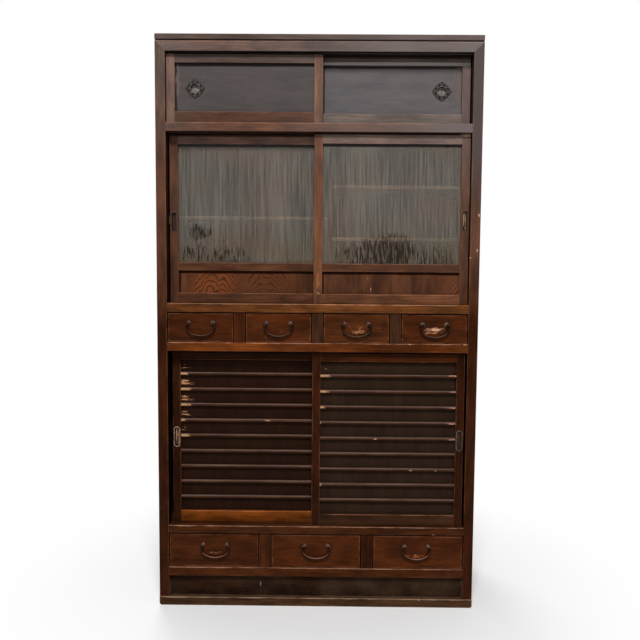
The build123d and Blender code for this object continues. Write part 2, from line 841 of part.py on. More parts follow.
def handle_post(x, face_y, z, board_thickness):
    """Rosette, eye and shank of one end of a handle, clinched inside the drawer."""
    rosette = disc(rosette_radius, x, face_y - rosette_thickness, z, rosette_thickness)
    rosette = chamfer(rosette.faces().sort_by(Axis.Y)[0].edges(), rosette_thickness / 2)
    neck = disc(eye_neck_radius, x, face_y - handle_standoff, z, handle_standoff)
    eye = Pos(x, face_y - handle_standoff, z) * Rot(0, 90, 0) * Cylinder(eye_radius, eye_thickness)
    bore_radius = bail_radius + eye_running_gap
    bore = Pos(x, face_y - handle_standoff, z) * Rot(0, 90, 0) * Cylinder(bore_radius, 2 * eye_thickness)
    inside_y = face_y + board_thickness
    shank = disc(shank_radius, x, face_y, z, board_thickness + inner_washer_thickness)
    washer = disc(inner_washer_radius, x, inside_y, z, inner_washer_thickness)
    clinch_y = (inside_y + inner_washer_thickness, inside_y + inner_washer_thickness + clinch_thickness)
    half_width = clinch_width / 2
    clinch = block((x - half_width, x + half_width), clinch_y, (z - clinch_length, z + clinch_length))
    return rosette + neck + eye + shank + washer + clinch - bore


def make_drawer(name, left, width, z_low, opening_height, handle_above_middle, handle_shift):
    """A drawer box under its front, with a bail handle shifted a little from the middle."""
    x_low = left + drawer_side_gap
    x_high = left + width - drawer_side_gap
    z_foot = z_low + drawer_foot_gap
    z_top = z_low + opening_height - drawer_top_gap
    z_floor = z_foot + drawer_bottom_thickness
    z_side = z_top - drawer_side_drop
    face_y = front_y + drawer_inset
    front_back_y = face_y + drawer_front_thickness
    lap_y = front_back_y - drawer_lap
    end_y = face_y + drawer_length
    handle_x = (x_low + x_high) / 2 + handle_shift
    handle_z = (z_foot + z_top) / 2 + handle_above_middle

    front = block((x_low, x_high), (face_y, front_back_y), (z_foot, z_top))
    front = ease_front(front, drawer_front_ease)
    left_side = block((x_low, x_low + drawer_side_thickness), (lap_y, end_y), (z_floor, z_side))
    right_side = block((x_high - drawer_side_thickness, x_high), (lap_y, end_y), (z_floor, z_side))
    back_x = (x_low + drawer_side_thickness, x_high - drawer_side_thickness)
    back = block(back_x, (end_y - drawer_side_thickness, end_y), (z_floor, z_side))
    bottom = block((x_low, x_high), (lap_y, end_y), (z_foot, z_floor))
    front = front - left_side - right_side - bottom
    posts = []
    for side in (-1, 1):
        post_x = handle_x + side * handle_spacing / 2
        front -= disc(shank_radius + shank_gap, post_x, face_y, handle_z, drawer_front_thickness)
        posts.append(handle_post(post_x, face_y, handle_z, drawer_front_thickness))
    add_node(name + "_box", [front, left_side, right_side, back, bottom])
    add_node(name + "_handle_posts", posts)
    add_node(name + "_bail", [bail(handle_x, face_y - handle_standoff, handle_z)])


def make_drawers():
    """Four small drawers in the middle and three large ones at the bottom."""
    lefts, width = drawer_openings(small_drawer_count, small_divider_width)
    for number, left in enumerate(lefts, start=1):
        make_drawer(f"small_drawer_{number}", left, width, small_drawer_z, small_drawer_opening,
                    small_handle_above_middle, 0)
    lefts, width = drawer_openings(large_drawer_count, large_divider_width)
    for number, (left, shift) in enumerate(zip(lefts, large_handle_shifts), start=1):
        make_drawer(f"large_drawer_{number}", left, width, large_drawer_z, large_drawer_opening,
                    large_handle_above_middle, shift)


# ---------------------------------------------------------------- output
make_case()
make_doors()
make_drawers()
os.makedirs("parts", exist_ok=True)
for node_name, shape in nodes.items():
    export_step(shape, f"parts/{node_name}.step")
print(len(nodes), "nodes,", sum(len(shape.solids()) for shape in nodes.values()), "solids")
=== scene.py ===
# %% [markdown]
# # Finishing a mizuya
# A mizuya is the tall cabinet of a Japanese kitchen: sliding doors above, drawers in the middle and
# at the foot, all in straight-grained wood under thin brown lacquer. The joinery comes in as a
# measured frame, one object for each sub-part. Here every board gets its softened edges, its own
# grain and its wear, and the iron and the glass are modelled.

# %% Load the measured frame
import json
import random
from math import cos, pi, radians, sin
import bmesh
import bpy
from mathutils import Matrix, Vector, noise

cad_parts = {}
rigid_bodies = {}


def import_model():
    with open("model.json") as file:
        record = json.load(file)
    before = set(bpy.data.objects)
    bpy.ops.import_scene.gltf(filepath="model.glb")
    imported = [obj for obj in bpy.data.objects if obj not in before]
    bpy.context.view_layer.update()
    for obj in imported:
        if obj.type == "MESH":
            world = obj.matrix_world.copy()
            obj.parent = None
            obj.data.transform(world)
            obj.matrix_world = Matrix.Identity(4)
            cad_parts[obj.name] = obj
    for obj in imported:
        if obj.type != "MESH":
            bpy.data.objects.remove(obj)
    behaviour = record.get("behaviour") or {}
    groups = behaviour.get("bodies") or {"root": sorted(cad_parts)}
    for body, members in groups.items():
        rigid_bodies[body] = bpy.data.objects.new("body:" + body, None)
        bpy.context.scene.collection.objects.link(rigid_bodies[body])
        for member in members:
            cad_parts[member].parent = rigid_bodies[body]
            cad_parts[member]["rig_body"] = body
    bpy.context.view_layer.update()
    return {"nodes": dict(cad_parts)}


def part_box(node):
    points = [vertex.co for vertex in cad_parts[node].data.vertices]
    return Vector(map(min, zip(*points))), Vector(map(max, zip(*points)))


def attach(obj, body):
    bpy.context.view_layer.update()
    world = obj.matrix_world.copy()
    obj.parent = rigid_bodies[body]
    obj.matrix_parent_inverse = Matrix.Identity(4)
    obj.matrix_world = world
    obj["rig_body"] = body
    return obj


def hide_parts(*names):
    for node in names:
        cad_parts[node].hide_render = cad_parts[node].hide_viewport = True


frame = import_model()
scene = bpy.context.scene

# %% [markdown]
# Metres are the unit throughout, because the frame is in metres, and a cabinet maker's sizes are
# in millimetres. One factor keeps both readable. The modelling below goes in and out of edit mode
# often, always in the same way, so those few steps have names too.

# %% Units and helpers for modelling
MM = 0.001


def new_object(name, data):
    """A new object in the scene, made of a mesh, a curve, a lamp or a camera."""
    made = bpy.data.objects.new(name, data)
    scene.collection.objects.link(made)
    return made


def only(piece):
    """Select one object, make it active, and nothing else."""
    bpy.ops.object.select_all(action="DESELECT")
    piece.select_set(True)
    bpy.context.view_layer.objects.active = piece


def added(primitive, name, **sizes):
    """Add one of the mesh primitives, selected by itself, and name it."""
    bpy.ops.object.select_all(action="DESELECT")
    primitive(**sizes)
    piece = bpy.context.object
    piece.name = name
    piece.data.name = name
    return piece


def start_editing(piece):
    """Enter edit mode on one piece, with all of it selected."""
    only(piece)
    bpy.ops.object.mode_set(mode="EDIT")
    bpy.ops.mesh.select_all(action="SELECT")


def face_outward():
    """Turn every face of the piece in edit mode to look outward."""
    bpy.ops.mesh.select_all(action="SELECT")
    bpy.ops.mesh.normals_make_consistent(inside=False)


def stop_editing(sharp_from=None):
    """Leave edit mode and shade smooth; edges steeper than some degrees can stay sharp."""
    bpy.ops.object.mode_set(mode="OBJECT")
    if sharp_from is None:
        bpy.ops.object.shade_smooth()
    else:
        bpy.ops.object.shade_smooth_by_angle(angle=radians(sharp_from))


def settle(piece, node):
    """Let a piece stand for a CAD node and ride where that node rides."""
    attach(piece, frame["nodes"][node]["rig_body"])
    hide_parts(node)


# %% [markdown]
# ## Shader building blocks
# Wood, iron and glass here share the same few effects. A node group is the tool for that: it is
# drawn once, has named sockets, and each material sets its own values on it. These helpers keep
# the node code close to how a tree is described aloud: put a node down, fill or link its inputs.

# %% Helpers for node trees
def put(tree, kind, values=None, **options):
    """Add a node, set its options, then fill or link its inputs by name or number."""
    made = tree.nodes.new(kind)
    for option, choice in options.items():
        setattr(made, option, choice)
    for socket, value in (values or {}).items():
        if isinstance(value, bpy.types.NodeSocket):
            tree.links.new(value, made.inputs[socket])
        else:
            made.inputs[socket].default_value = value
    return made


def maths(tree, operation, first, second=0.0, third=0.0):
    """One operation of the Math node."""
    return put(tree, "ShaderNodeMath", {0: first, 1: second, 2: third}, operation=operation).outputs[0]


def chain(operation):
    """A short name for an operation that takes two numbers, or runs along a row of them."""
    def run(tree, first, *others):
        for other in others:
            first = maths(tree, operation, first, other)
        return first
    return run


times = chain("MULTIPLY")
plus = chain("ADD")
minus = chain("SUBTRACT")
greater = chain("MAXIMUM")
lesser = chain("MINIMUM")


def unsigned(tree, value):
    """A number without its minus sign."""
    return maths(tree, "ABSOLUTE", value)


def vectors(tree, operation, first, second=(0, 0, 0), third=(0, 0, 0)):
    """One operation of the Vector Math node."""
    values = {0: first, 1: second, 2: third}
    return put(tree, "ShaderNodeVectorMath", values, operation=operation).outputs["Vector"]


def stretch(tree, place, by):
    """A place stretched by its own factor along each axis."""
    return vectors(tree, "MULTIPLY", place, by)


def length(tree, vector):
    """How long a vector is."""
    return put(tree, "ShaderNodeVectorMath", {0: vector}, operation="LENGTH").outputs["Value"]


def axes(tree, vector):
    """The three numbers of a vector."""
    return put(tree, "ShaderNodeSeparateXYZ", {0: vector}).outputs


def own_place(tree):
    """The place as the piece itself sees it, so the finish moves along with a door or a drawer."""
    return put(tree, "ShaderNodeTexCoord").outputs["Object"]


def own_normal(tree, which="Normal"):
    """The surface normal as the piece itself sees it."""
    normal = put(tree, "ShaderNodeNewGeometry").outputs[which]
    return put(tree, "ShaderNodeVectorTransform", {0: normal}, vector_type="NORMAL", convert_from="WORLD",
               convert_to="OBJECT").outputs[0]


def step(tree, value, low, high, to_low=0.0, to_high=1.0):
    """A smooth step from one value to another, as a slider between low and high."""
    values = {"Value": value, "From Min": low, "From Max": high, "To Min": to_low, "To Max": to_high}
    return put(tree, "ShaderNodeMapRange", values, interpolation_type="SMOOTHSTEP").outputs["Result"]


def blend(tree, factor, first, second, how="MIX"):
    """Two colours mixed, or the second laid over the first in another way."""
    values = {0: factor, 6: first, 7: second}
    return put(tree, "ShaderNodeMix", values, data_type="RGBA", blend_type=how).outputs[2]


def glaze(tree, colour, film):
    """A colour seen through a coloured film."""
    return blend(tree, 1.0, colour, film, "MULTIPLY")


def cloud(tree, place, scale, detail=2.0, roughness=0.5):
    """Soft noise between about 0.2 and 0.8."""
    values = {"Vector": place, "Scale": scale, "Detail": detail, "Roughness": roughness}
    return put(tree, "ShaderNodeTexNoise", values).outputs[0]


def colours(tree, value, *stops):
    """A colour ramp from (position, colour) pairs."""
    made = put(tree, "ShaderNodeValToRGB", {0: value})
    ramp = made.color_ramp
    while len(ramp.elements) < len(stops):
        ramp.elements.new(1.0)
    for element, (position, colour) in zip(ramp.elements, stops):
        element.position = position
        element.color = colour
    return made.outputs[0]


def tint(red, green, blue):
    """A colour as it reads on a screen, turned into the linear light that a shader works in."""
    channels = [c / 255 for c in (red, green, blue)]
    return tuple(c / 12.92 if c < 0.04045 else ((c + 0.055) / 1.055) ** 2.4 for c in channels) + (1.0,)


def grey(value):
    """A neutral linear colour."""
    return (value, value, value, 1.0)


def new_group(name, inputs, *outputs):
    """An empty node group; an input has a number, or None for a vector, and outputs are numbers."""
    tree = bpy.data.node_groups.new(name, "ShaderNodeTree")
    for label, number in inputs.items():
        kind = "NodeSocketVector" if number is None else "NodeSocketFloat"
        made = tree.interface.new_socket(label, in_out="INPUT", socket_type=kind)
        if number is not None:
            made.default_value = number
    for label in outputs:
        tree.interface.new_socket(label, in_out="OUTPUT", socket_type="NodeSocketFloat")
    return tree, tree.nodes.new("NodeGroupInput").outputs, tree.nodes.new("NodeGroupOutput").inputs


def use(tree, group, values):
    """Place a node group in a material with its own values."""
    return put(tree, "ShaderNodeGroup", values, node_tree=group).outputs


# %% [markdown]
# ### Grain
# Quarter-sawn wood shows long, nearly straight streaks: dark late wood between wider bands of early
# wood, and open pores as short dashes. Noise that is squeezed along the board gives all three. The
# coordinates are each board's own, so grain turns with the board and never runs across a joint.

# %% Group: straight grain
inputs = {"Place": None, "Seed": 0.0, "Streaks": 290.0, "Pores": 700.0}
tree, given, made = new_group("straight grain", inputs, "Figure", "Pores")
shift = vectors(tree, "MULTIPLY_ADD", given["Seed"], (31.0, 17.0, 7.0), given["Place"])
along = stretch(tree, shift, (0.035, 1.0, 1.0))
sway = cloud(tree, stretch(tree, shift, (0.25, 1.0, 1.0)), 9.0)
swayed = vectors(tree, "MULTIPLY_ADD", sway, (0.0, 0.012, 0.012), along)
bands = cloud(tree, swayed, given["Streaks"], 3.0, 0.6)
broad = cloud(tree, stretch(tree, shift, (0.12, 1.0, 1.0)), 13.0, 2.0)
mixed = maths(tree, "MULTIPLY_ADD", bands, 0.6, times(tree, broad, 0.4))
tree.links.new(step(tree, mixed, 0.32, 0.68), made["Figure"])
dashes = cloud(tree, along, given["Pores"], 1.0)
tree.links.new(step(tree, dashes, 0.62, 0.75), made["Pores"])
straight_grain = tree
print("group:", tree.name)

# %% [markdown]
# ### Worn arrises, with painted light
# An arris is the sharp corner of a board. Hands and cloths rub the lacquer off there first. The
# distance to the nearest arris needs no ray tracing on a board: of the three distances to its pairs
# of faces, the smallest is the face itself and the middle one is the way to the arris. The upper
# arris of a rail is made the palest and the others get a share of it: partly wear, since things
# slide over it, and partly a painted highlight where the light from above catches the top edge.

# %% Group: arris wear and painted light
inputs = {"Place": None, "Half": None, "From Top": 0.0, "Seed": 0.0, "Width": 0.0016, "Amount": 0.6,
          "Elsewhere": 0.35}
tree, given, made = new_group("arris wear", inputs, "Mask")
inside = vectors(tree, "SUBTRACT", given["Half"], vectors(tree, "ABSOLUTE", given["Place"]))
parts = axes(tree, inside)
low = lesser(tree, parts[0], lesser(tree, parts[1], parts[2]))
high = greater(tree, parts[0], greater(tree, parts[1], parts[2]))
total = plus(tree, parts[0], plus(tree, parts[1], parts[2]))
middle = minus(tree, minus(tree, total, low), high)
shift = vectors(tree, "MULTIPLY_ADD", given["Seed"], (11.0, 5.0, 3.0), given["Place"])
patchy = cloud(tree, stretch(tree, shift, (1.0, 4.0, 4.0)), 16.0, 4.0, 0.65)
reach = times(tree, given["Width"], step(tree, patchy, 0.3, 0.72, 0.35, 1.7))
near = minus(tree, 1.0, maths(tree, "DIVIDE", middle, reach))
held = step(tree, near, 0.0, 0.55)
rub = step(tree, patchy, 0.25, 0.6, 0.35, 1.0)
# The upper arris takes the full mask: wear, and a painted highlight of the light from above.
upward = step(tree, given["From Top"], 0.005, 0.0025, given["Elsewhere"], 1.0)
worn = times(tree, held, rub, given["Amount"])
tree.links.new(times(tree, worn, upward), made["Mask"])
arris_wear_and_light = tree
print("group:", tree.name)

# %% [markdown]
# ### Worn patches
# Some marks sit in one place: lacquer scraped off behind a handle, a chip on a stile, scuffs on a
# post. A patch is a soft ellipsoid about a point, broken up by noise that can be stretched the way
# the scratches run.

# %% Group: worn patch
inputs = {"Place": None, "Centre": None, "Reach": None, "Grit": None, "Sharpness": 0.2, "Cover": 0.5}
tree, given, made = new_group("worn patch", inputs, "Mask")
offset = vectors(tree, "SUBTRACT", given["Place"], given["Centre"])
far = length(tree, vectors(tree, "DIVIDE", offset, given["Reach"]))
grit = cloud(tree, stretch(tree, given["Place"], given["Grit"]), 1.0, 4.0, 0.6)
level = plus(tree, grit, minus(tree, given["Cover"], 0.5))
level = minus(tree, level, times(tree, far, 0.4))
top = plus(tree, 0.1, given["Sharpness"])
tree.links.new(step(tree, level, 0.1, top), made["Mask"])
worn_patch = tree
print("group:", tree.name)

# %% [markdown]
# ### Dust
# Dust settles on faces that look up, and elsewhere it clings in patches. The group adds soft noise to
# the upward tilt of the surface, and holds the sum below full cover, since dust is a thin film.

# %% Group: dust film
tree, given, made = new_group("dust film", {"Amount": 0.4, "Patches": 7.0}, "Mask")
coordinates = own_place(tree)
tilt = axes(tree, own_normal(tree))
up = step(tree, tilt[2], 0.3, 0.9)
blotch = step(tree, cloud(tree, coordinates, given["Patches"], 5.0, 0.65), 0.38, 0.7)
film = times(tree, plus(tree, blotch, up), given["Amount"])
tree.links.new(lesser(tree, film, 1.0), made["Mask"])
dust_film = tree
print("group:", tree.name)

# %% [markdown]
# ### Lines of painted shade
# Shade falls into every corner where one board meets another: under the top rail of a panel, round a
# drawer front, under the rail above a door. It is painted as a dark line that follows the board's own
# edge at a nearly even width, so the group needs only the distance to that edge, and frays it a little.

# %% Group: painted shade line
inputs = {"Place": None, "Distance": 1.0, "Width": 0.003, "Strength": 0.8}
tree, given, made = new_group("dirt line", inputs, "Mask")
frayed = step(tree, cloud(tree, given["Place"], 14.0, 3.0), 0.3, 0.7, 0.94, 1.06)
outer = times(tree, given["Width"], frayed)
solid = maths(tree, "MULTIPLY_ADD", outer, 0.9, -0.001)
tree.links.new(times(tree, step(tree, given["Distance"], outer, solid), given["Strength"]), made["Mask"])
shade_line = tree
print("group:", tree.name)

# %% [markdown]
# ### Shadow under a bail
# A hanging bail lies against the drawer front along its bow. The narrow wedge under the bar is
# painted dark as the shadow that the bar casts. The group draws that bow as half of a flattened ring.

# %% Group: bail shadow
inputs = {"Place": None, "Middle": None, "Bow": None, "Strength": 0.7}
tree, given, made = new_group("bail grime", inputs, "Mask")
ring = vectors(tree, "DIVIDE", vectors(tree, "SUBTRACT", given["Place"], given["Middle"]), given["Bow"])
away = axes(tree, ring)
out = length(tree, put(tree, "ShaderNodeCombineXYZ", {0: away[0], 2: away[2]}).outputs[0])
off = unsigned(tree, minus(tree, out, 1.0))
frayed = step(tree, cloud(tree, given["Place"], 120.0, 3.0), 0.3, 0.7, 0.1, 0.17)
close = step(tree, off, frayed, 0.02)
hanging = step(tree, away[2], 0.15, -0.1)
front = step(tree, unsigned(tree, away[1]), 1.0, 0.9)
close = times(tree, close, hanging, front)
tree.links.new(times(tree, close, given["Strength"]), made["Mask"])
bail_shadow = tree
print("group:", tree.name)

# %% [markdown]
# ### Faces in shade
# The undersides of rails and the faces inside a gap get little light. They are painted nearly black
# as their shade, which draws the dark lines round each drawer and door. The surface normal tells
# which faces these are: those that look down or sideways, and on a post only the one that looks
# towards the middle of the cabinet.

# %% Group: painted shade on faces
tree, given, made = new_group("unseen faces", {"Sides": 1.0, "Undersides": 1.0, "Inward": 0.0}, "Mask")
facing = axes(tree, own_normal(tree, "True Normal"))
below = times(tree, step(tree, facing[2], -0.75, -0.95), given["Undersides"])
sideways = step(tree, unsigned(tree, facing[0]), 0.75, 0.95)
sideways = times(tree, sideways, given["Sides"])
side = axes(tree, own_place(tree))[0]
outward = times(tree, facing[0], maths(tree, "SIGN", side))
inward = times(tree, step(tree, outward, -0.75, -0.95), given["Inward"])
sideways = greater(tree, sideways, inward)
tree.links.new(greater(tree, below, sideways), made["Mask"])
shaded_faces = tree
print("group:", tree.name)

# %% [markdown]
# ### Sun fade and sheen
# The top of a tall cabinet gets the daylight of the room, and brown lacquer turns greyish there; the
# same grey also serves as a painted sheen of the light from above. The fade rises with the height and
# is stronger towards the window side, with soft uneven borders.

# %% Group: fade and painted sheen
tree, given, made = new_group("sun fade", {"Amount": 0.7}, "Mask")
coordinates = own_place(tree)
spot = axes(tree, coordinates)
height = step(tree, spot[2], 0.95, 1.75)
window_side = step(tree, spot[0], -0.25, 0.45, 0.12, 1.1)
corner = step(tree, unsigned(tree, spot[0]), 0.3, 0.5, 0.0, 0.3)
uneven = step(tree, cloud(tree, coordinates, 4.5, 3.0), 0.25, 0.65, 0.5, 1.0)
fade = times(tree, height, plus(tree, window_side, corner))
fade = times(tree, fade, uneven, given["Amount"])
tree.links.new(lesser(tree, fade, 0.9), made["Mask"])
fade_and_sheen = tree
print("group:", tree.name)

# %% [markdown]
# ## Lacquer
# The lacquer is a thin brown film over softwood. At the foot of the cabinet it is still dark cherry;
# towards the top it has faded to a greyish brown with a soft sheen. Each board carries its own stain
# as a mesh attribute, so one material serves many boards and no two of them match exactly.

# %% Stains
STAINS = {
    "black cherry": tint(42, 18, 7),
    "dark cherry": tint(52, 23, 8),
    "post cherry": tint(46, 20, 8),
    "cherry": tint(63, 31, 13),
    "sill cherry": tint(57, 29, 13),
    "red cherry": tint(70, 36, 17),
    "drawer cherry": tint(57, 26, 9),
    "warm drawer cherry": tint(65, 31, 12),
    "chestnut": tint(86, 44, 16),
    "golden chestnut": tint(106, 56, 17),
    "divider brown": tint(52, 32, 21),
    "amber brown": tint(87, 51, 26),
    "worn copper": tint(91, 59, 42),
    "rose copper": tint(95, 68, 55),
    "dusky rose": tint(106, 83, 77),
    "faded rose": tint(91, 72, 67),
    "umber": tint(75, 47, 34),
    "warm umber": tint(86, 55, 39),
    "walnut": tint(46, 25, 14),
    "ash brown": tint(80, 64, 57),
    "deep umber": tint(62, 40, 29),
    "smoked umber": tint(62, 51, 47),
    "grey plum": tint(71, 56, 57),
    "deep ash": tint(70, 57, 52),
    "sooty rose": tint(110, 93, 88),
    "dry ash": tint(95, 88, 85),
    "weathered post": tint(88, 73, 67),
    "slate": tint(62, 57, 57),
    "pale slate": tint(80, 77, 79),
    "peat": tint(34, 20, 13),
    "sooty peat": tint(31, 16, 10),
    "olive peat": tint(38, 27, 20),
    "dust brown": tint(58, 39, 26),
    "bare": tint(168, 128, 88),
    "pale cedar": tint(200, 172, 142),
}
print(len(STAINS), "stains")

# %% [markdown]
# ### One recipe
# All lacquered boards share one recipe, in the order in which the years worked on them, with painted
# light laid in among them: stain, grain, sun fade with a painted sheen, dust, rubbed arrises with a
# painted highlight on the upper ones, painted shade in the corners, then single marks. What differs
# from one material to the next is passed in, and only the shade lines and the marks that a material
# has become nodes in it.

# %% One recipe for every lacquered board
# The dark film of painted shade in corners, gaps and under rails.
PAINTED_SHADE = (0.14, 0.09, 0.08, 1.0)
between_tracks = (-0.185, -0.180)    # y of the gap between the front doors and the back doors

# Each fact about a board is an attribute: its kind on the mesh, and the output that reads it.
BOARD_FACTS = {"place": ("FLOAT_VECTOR", "Vector"), "half": ("FLOAT_VECTOR", "Vector"),
               "low": ("FLOAT_VECTOR", "Vector"), "high": ("FLOAT_VECTOR", "Vector"),
               "seed": ("FLOAT", "Fac"), "worn": ("FLOAT", "Fac"), "stain": ("FLOAT_COLOR", "Color")}


def board_inputs(tree):
    """The attributes that tell a shader where it is on its own board."""
    return {fact: put(tree, "ShaderNodeAttribute", attribute_name="board_" + fact).outputs[output]
            for fact, (kind, output) in BOARD_FACTS.items()}


def under_painted_shade(tree, mask, colour, film=PAINTED_SHADE):
    """A colour darkened by painted shade, where a mask says so."""
    return blend(tree, mask, colour, glaze(tree, colour, film))


def new_material(name, **plain):
    """A material with one Principled shader; plain values sit on the shader's own sockets."""
    material = bpy.data.materials.new(name)
    material.use_nodes = True
    tree = material.node_tree
    shader = tree.nodes["Principled BSDF"]
    for label, value in plain.items():
        shader.inputs[label.replace("_", " ")].default_value = value
    return material, tree, shader


def lacquer(name, sheen=0.06, streaks=0.4, arris=0.6, arris_width=0.0022, elsewhere=0.35,
            arris_colour=tint(148, 100, 74), dust=0.05, fade=0.0, faded_and_sheen_to=tint(110, 97, 94), mottling=1.0,
            roughness=0.42, sheen_tint=(1.0, 0.62, 0.42), gap_shade=1.0, gap_end=None, inward=0.0, dirt=(),
            head=None, marks=(), grit=1500.0, extra=None, stain=None):
    """Stain from the board, grain in it, worn and lit arrises, dust, painted shade, then marks in their
    places.
    """
    material, tree, shader = new_material(name, Specular_IOR_Level=sheen,
                                          Specular_Tint=(*sheen_tint, 1.0))
    board = board_inputs(tree)
    colour = stain(tree) if stain else board["stain"]
    shift = vectors(tree, "MULTIPLY_ADD", board["seed"], (3.0, 5.0, 7.0), board["place"])
    mottle = step(tree, cloud(tree, stretch(tree, shift, (9.0, 30.0, 30.0)), 1.0, 4.0, 0.6), 0.3, 0.7)
    mottled = blend(tree, mottle, glaze(tree, colour, (0.6, 0.56, 0.54, 1.0)),
                    glaze(tree, colour, (1.46, 1.34, 1.14, 1.0)))
    colour = blend(tree, mottling, colour, mottled)
    grain = use(tree, straight_grain, {"Place": board["place"], "Seed": board["seed"]})
    dark = glaze(tree, colour, grey(1.0 - streaks))
    light = glaze(tree, colour, grey(1.0 + 0.8 * streaks))
    colour = blend(tree, grain["Figure"], dark, light)
    colour = blend(tree, times(tree, grain["Pores"], 0.4), colour, STAINS["peat"])
    colour = blend(tree, use(tree, fade_and_sheen, {"Amount": fade})["Mask"], colour, faded_and_sheen_to)
    colour = blend(tree, use(tree, dust_film, {"Amount": dust})["Mask"], colour, tint(88, 68, 52))
    from_low = axes(tree, board["low"])
    from_high = axes(tree, board["high"])
    wear = use(tree, arris_wear_and_light, {"Place": board["place"], "Half": board["half"],
                                  "From Top": from_high[2], "Seed": board["seed"],
                                  "Width": arris_width, "Amount": arris, "Elsewhere": elsewhere})
    rubbed = blend(tree, 0.6, glaze(tree, colour, grey(2.8)), arris_colour)
    colour = blend(tree, wear["Mask"], colour, rubbed)
    if extra:
        colour = extra(tree, board, colour)
    place = own_place(tree)
    edges = {"left": from_low[0], "bottom": from_low[2], "right": from_high[0], "top": from_high[2]}
    # Painted shade lines along the chosen edges of the board.
    for edge, width, strength in dirt:
        line = use(tree, shade_line, {"Place": place, "Distance": edges[edge], "Width": width * MM,
                                     "Strength": strength})
        colour = under_painted_shade(tree, line["Mask"], colour)
    # Painted shadow under the rail above a door; it is deeper on the back doors, which sit further in.
    if head:
        spot = axes(tree, place)
        deep = step(tree, spot[1], *between_tracks, 4.0 * MM, 12.0 * MM)
        below = minus(tree, head, spot[2])
        line = use(tree, shade_line, {"Place": place, "Distance": below, "Width": deep, "Strength": 0.9})
        colour = under_painted_shade(tree, line["Mask"], colour)
    for centre, reach, cover, shade in marks:
        patch = use(tree, worn_patch, {"Place": place, "Centre": [c * MM for c in centre],
                                       "Reach": [r * MM for r in reach], "Cover": cover,
                                       "Grit": [grit / max(r, 6.0) for r in reach]})
        colour = blend(tree, patch["Mask"], colour, shade)
    # Faces that look down or sideways, into the gaps, are painted nearly black as their shade.
    sides = 0.85 * gap_shade
    if gap_end:
        sides = step(tree, axes(tree, place)[1], gap_end + 1 * MM, gap_end - 1 * MM, 0.0, sides)
    hidden = use(tree, shaded_faces, {"Sides": sides, "Undersides": 0.8, "Inward": inward})
    colour = under_painted_shade(tree, hidden["Mask"], colour, grey(0.12))
    tree.links.new(colour, shader.inputs["Base Color"])
    rough = maths(tree, "MULTIPLY_ADD", grain["Figure"], 0.16, roughness - 0.08)
    rough = plus(tree, rough, times(tree, wear["Mask"], 0.2))
    tree.links.new(rough, shader.inputs["Roughness"])
    height = minus(tree, times(tree, grain["Figure"], 0.3), grain["Pores"])
    bump = put(tree, "ShaderNodeBump", {"Strength": 0.25, "Distance": 0.0004, "Height": height})
    tree.links.new(bump.outputs["Normal"], shader.inputs["Normal"])
    return material


# %% [markdown]
# The posts run the whole height, so their stain can't be one colour. A ramp over the height takes
# it from dark cherry at the floor, by way of umber, to a weathered brown under the top board; the
# greyer top also stands in for a painted sheen of the light from above.

# %% Materials of the case
def by_height(*stops):
    """A stain that changes with the height above the floor, in metres."""
    def stain(tree):
        place = own_place(tree)
        height = axes(tree, place)[2]
        wander = cloud(tree, stretch(tree, place, (6.0, 6.0, 1.0)), 3.0, 3.0)
        height = maths(tree, "MULTIPLY_ADD", minus(tree, wander, 0.5), 0.35, height)
        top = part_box("top_board")[1].z
        return colours(tree, maths(tree, "DIVIDE", height, top),
                       *[(level / top, STAINS[name]) for level, name in stops])
    return stain


TAN = tint(176, 130, 92)
PALE = tint(196, 160, 132)
PINK = tint(188, 138, 112)
ORANGE = tint(140, 84, 44)

# A mark is its centre and its reach, both in mm, its cover and its colour. A painted shade line is
# the edge that it follows, its width in mm and its strength.
post_marks = [((494, -210, 1249), (3, 8, 10), 0.4, PALE), ((491, -210, 1141), (3, 8, 9), 0.4, PALE),
              ((471, -210, 1117), (5, 8, 3), 0.4, PALE), ((497, -206, 1190), (3, 9, 40), 0.1, TAN),
              ((-478, -210, 690), (9, 8, 45), 0.02, TAN), ((-480, -210, 1010), (8, 8, 60), 0.0, ORANGE)]
rail_marks = [((289, -211, 847), (14, 6, 3), 0.4, PINK), ((256, -211, 848), (12, 6, 2), 0.4, PINK),
              ((414, -211, 848), (50, 6, 2), 0.35, PINK), ((460, -211, 847), (9, 6, 3), 0.4, PINK),
              ((-430, -211, 261), (70, 7, 4), 0.3, PINK), ((372, -211, 238), (14, 6, 3), 0.3, PALE),
              ((-300, -211, 261), (170, 7, 2), 0.2, TAN), ((440, -211, 845), (50, 6, 3), 0.2, TAN)]

upper_sheen = (1.0, 0.92, 0.88)
# The face of each post that looks into the cabinet is painted dark as its shade.
post_lacquer = lacquer("post lacquer", streaks=0.3, arris=0.45, elsewhere=0.8, fade=1.1, gap_shade=0.0,
                       faded_and_sheen_to=tint(75, 67, 66), inward=0.95, marks=post_marks,
                       stain=by_height((0.05, "post cherry"), (0.9, "post cherry"), (1.12, "warm umber"),
                                       (1.4, "warm umber"), (1.75, "weathered post")))
rail_lacquer = lacquer("rail lacquer", streaks=0.5, arris=0.95, arris_width=0.0026, elsewhere=0.15,
                       arris_colour=tint(166, 128, 104), dirt=[("bottom", 2.2, 0.7)], marks=rail_marks)
divider_lacquer = lacquer("divider lacquer", streaks=0.45, arris=0.15, elsewhere=1.0, dust=0.03,
                          dirt=[("top", 3.0, 0.9)])
upper_rail_lacquer = lacquer("upper rail lacquer", 0.16, elsewhere=0.2, fade=0.95,
                             faded_and_sheen_to=tint(97, 90, 88), dirt=[("bottom", 2.0, 0.6)],
                             sheen_tint=upper_sheen)
top_board_lacquer = lacquer("top board lacquer", 0.14, arris=0.5, elsewhere=0.3, fade=0.9,
                            faded_and_sheen_to=tint(88, 77, 75), sheen_tint=upper_sheen)
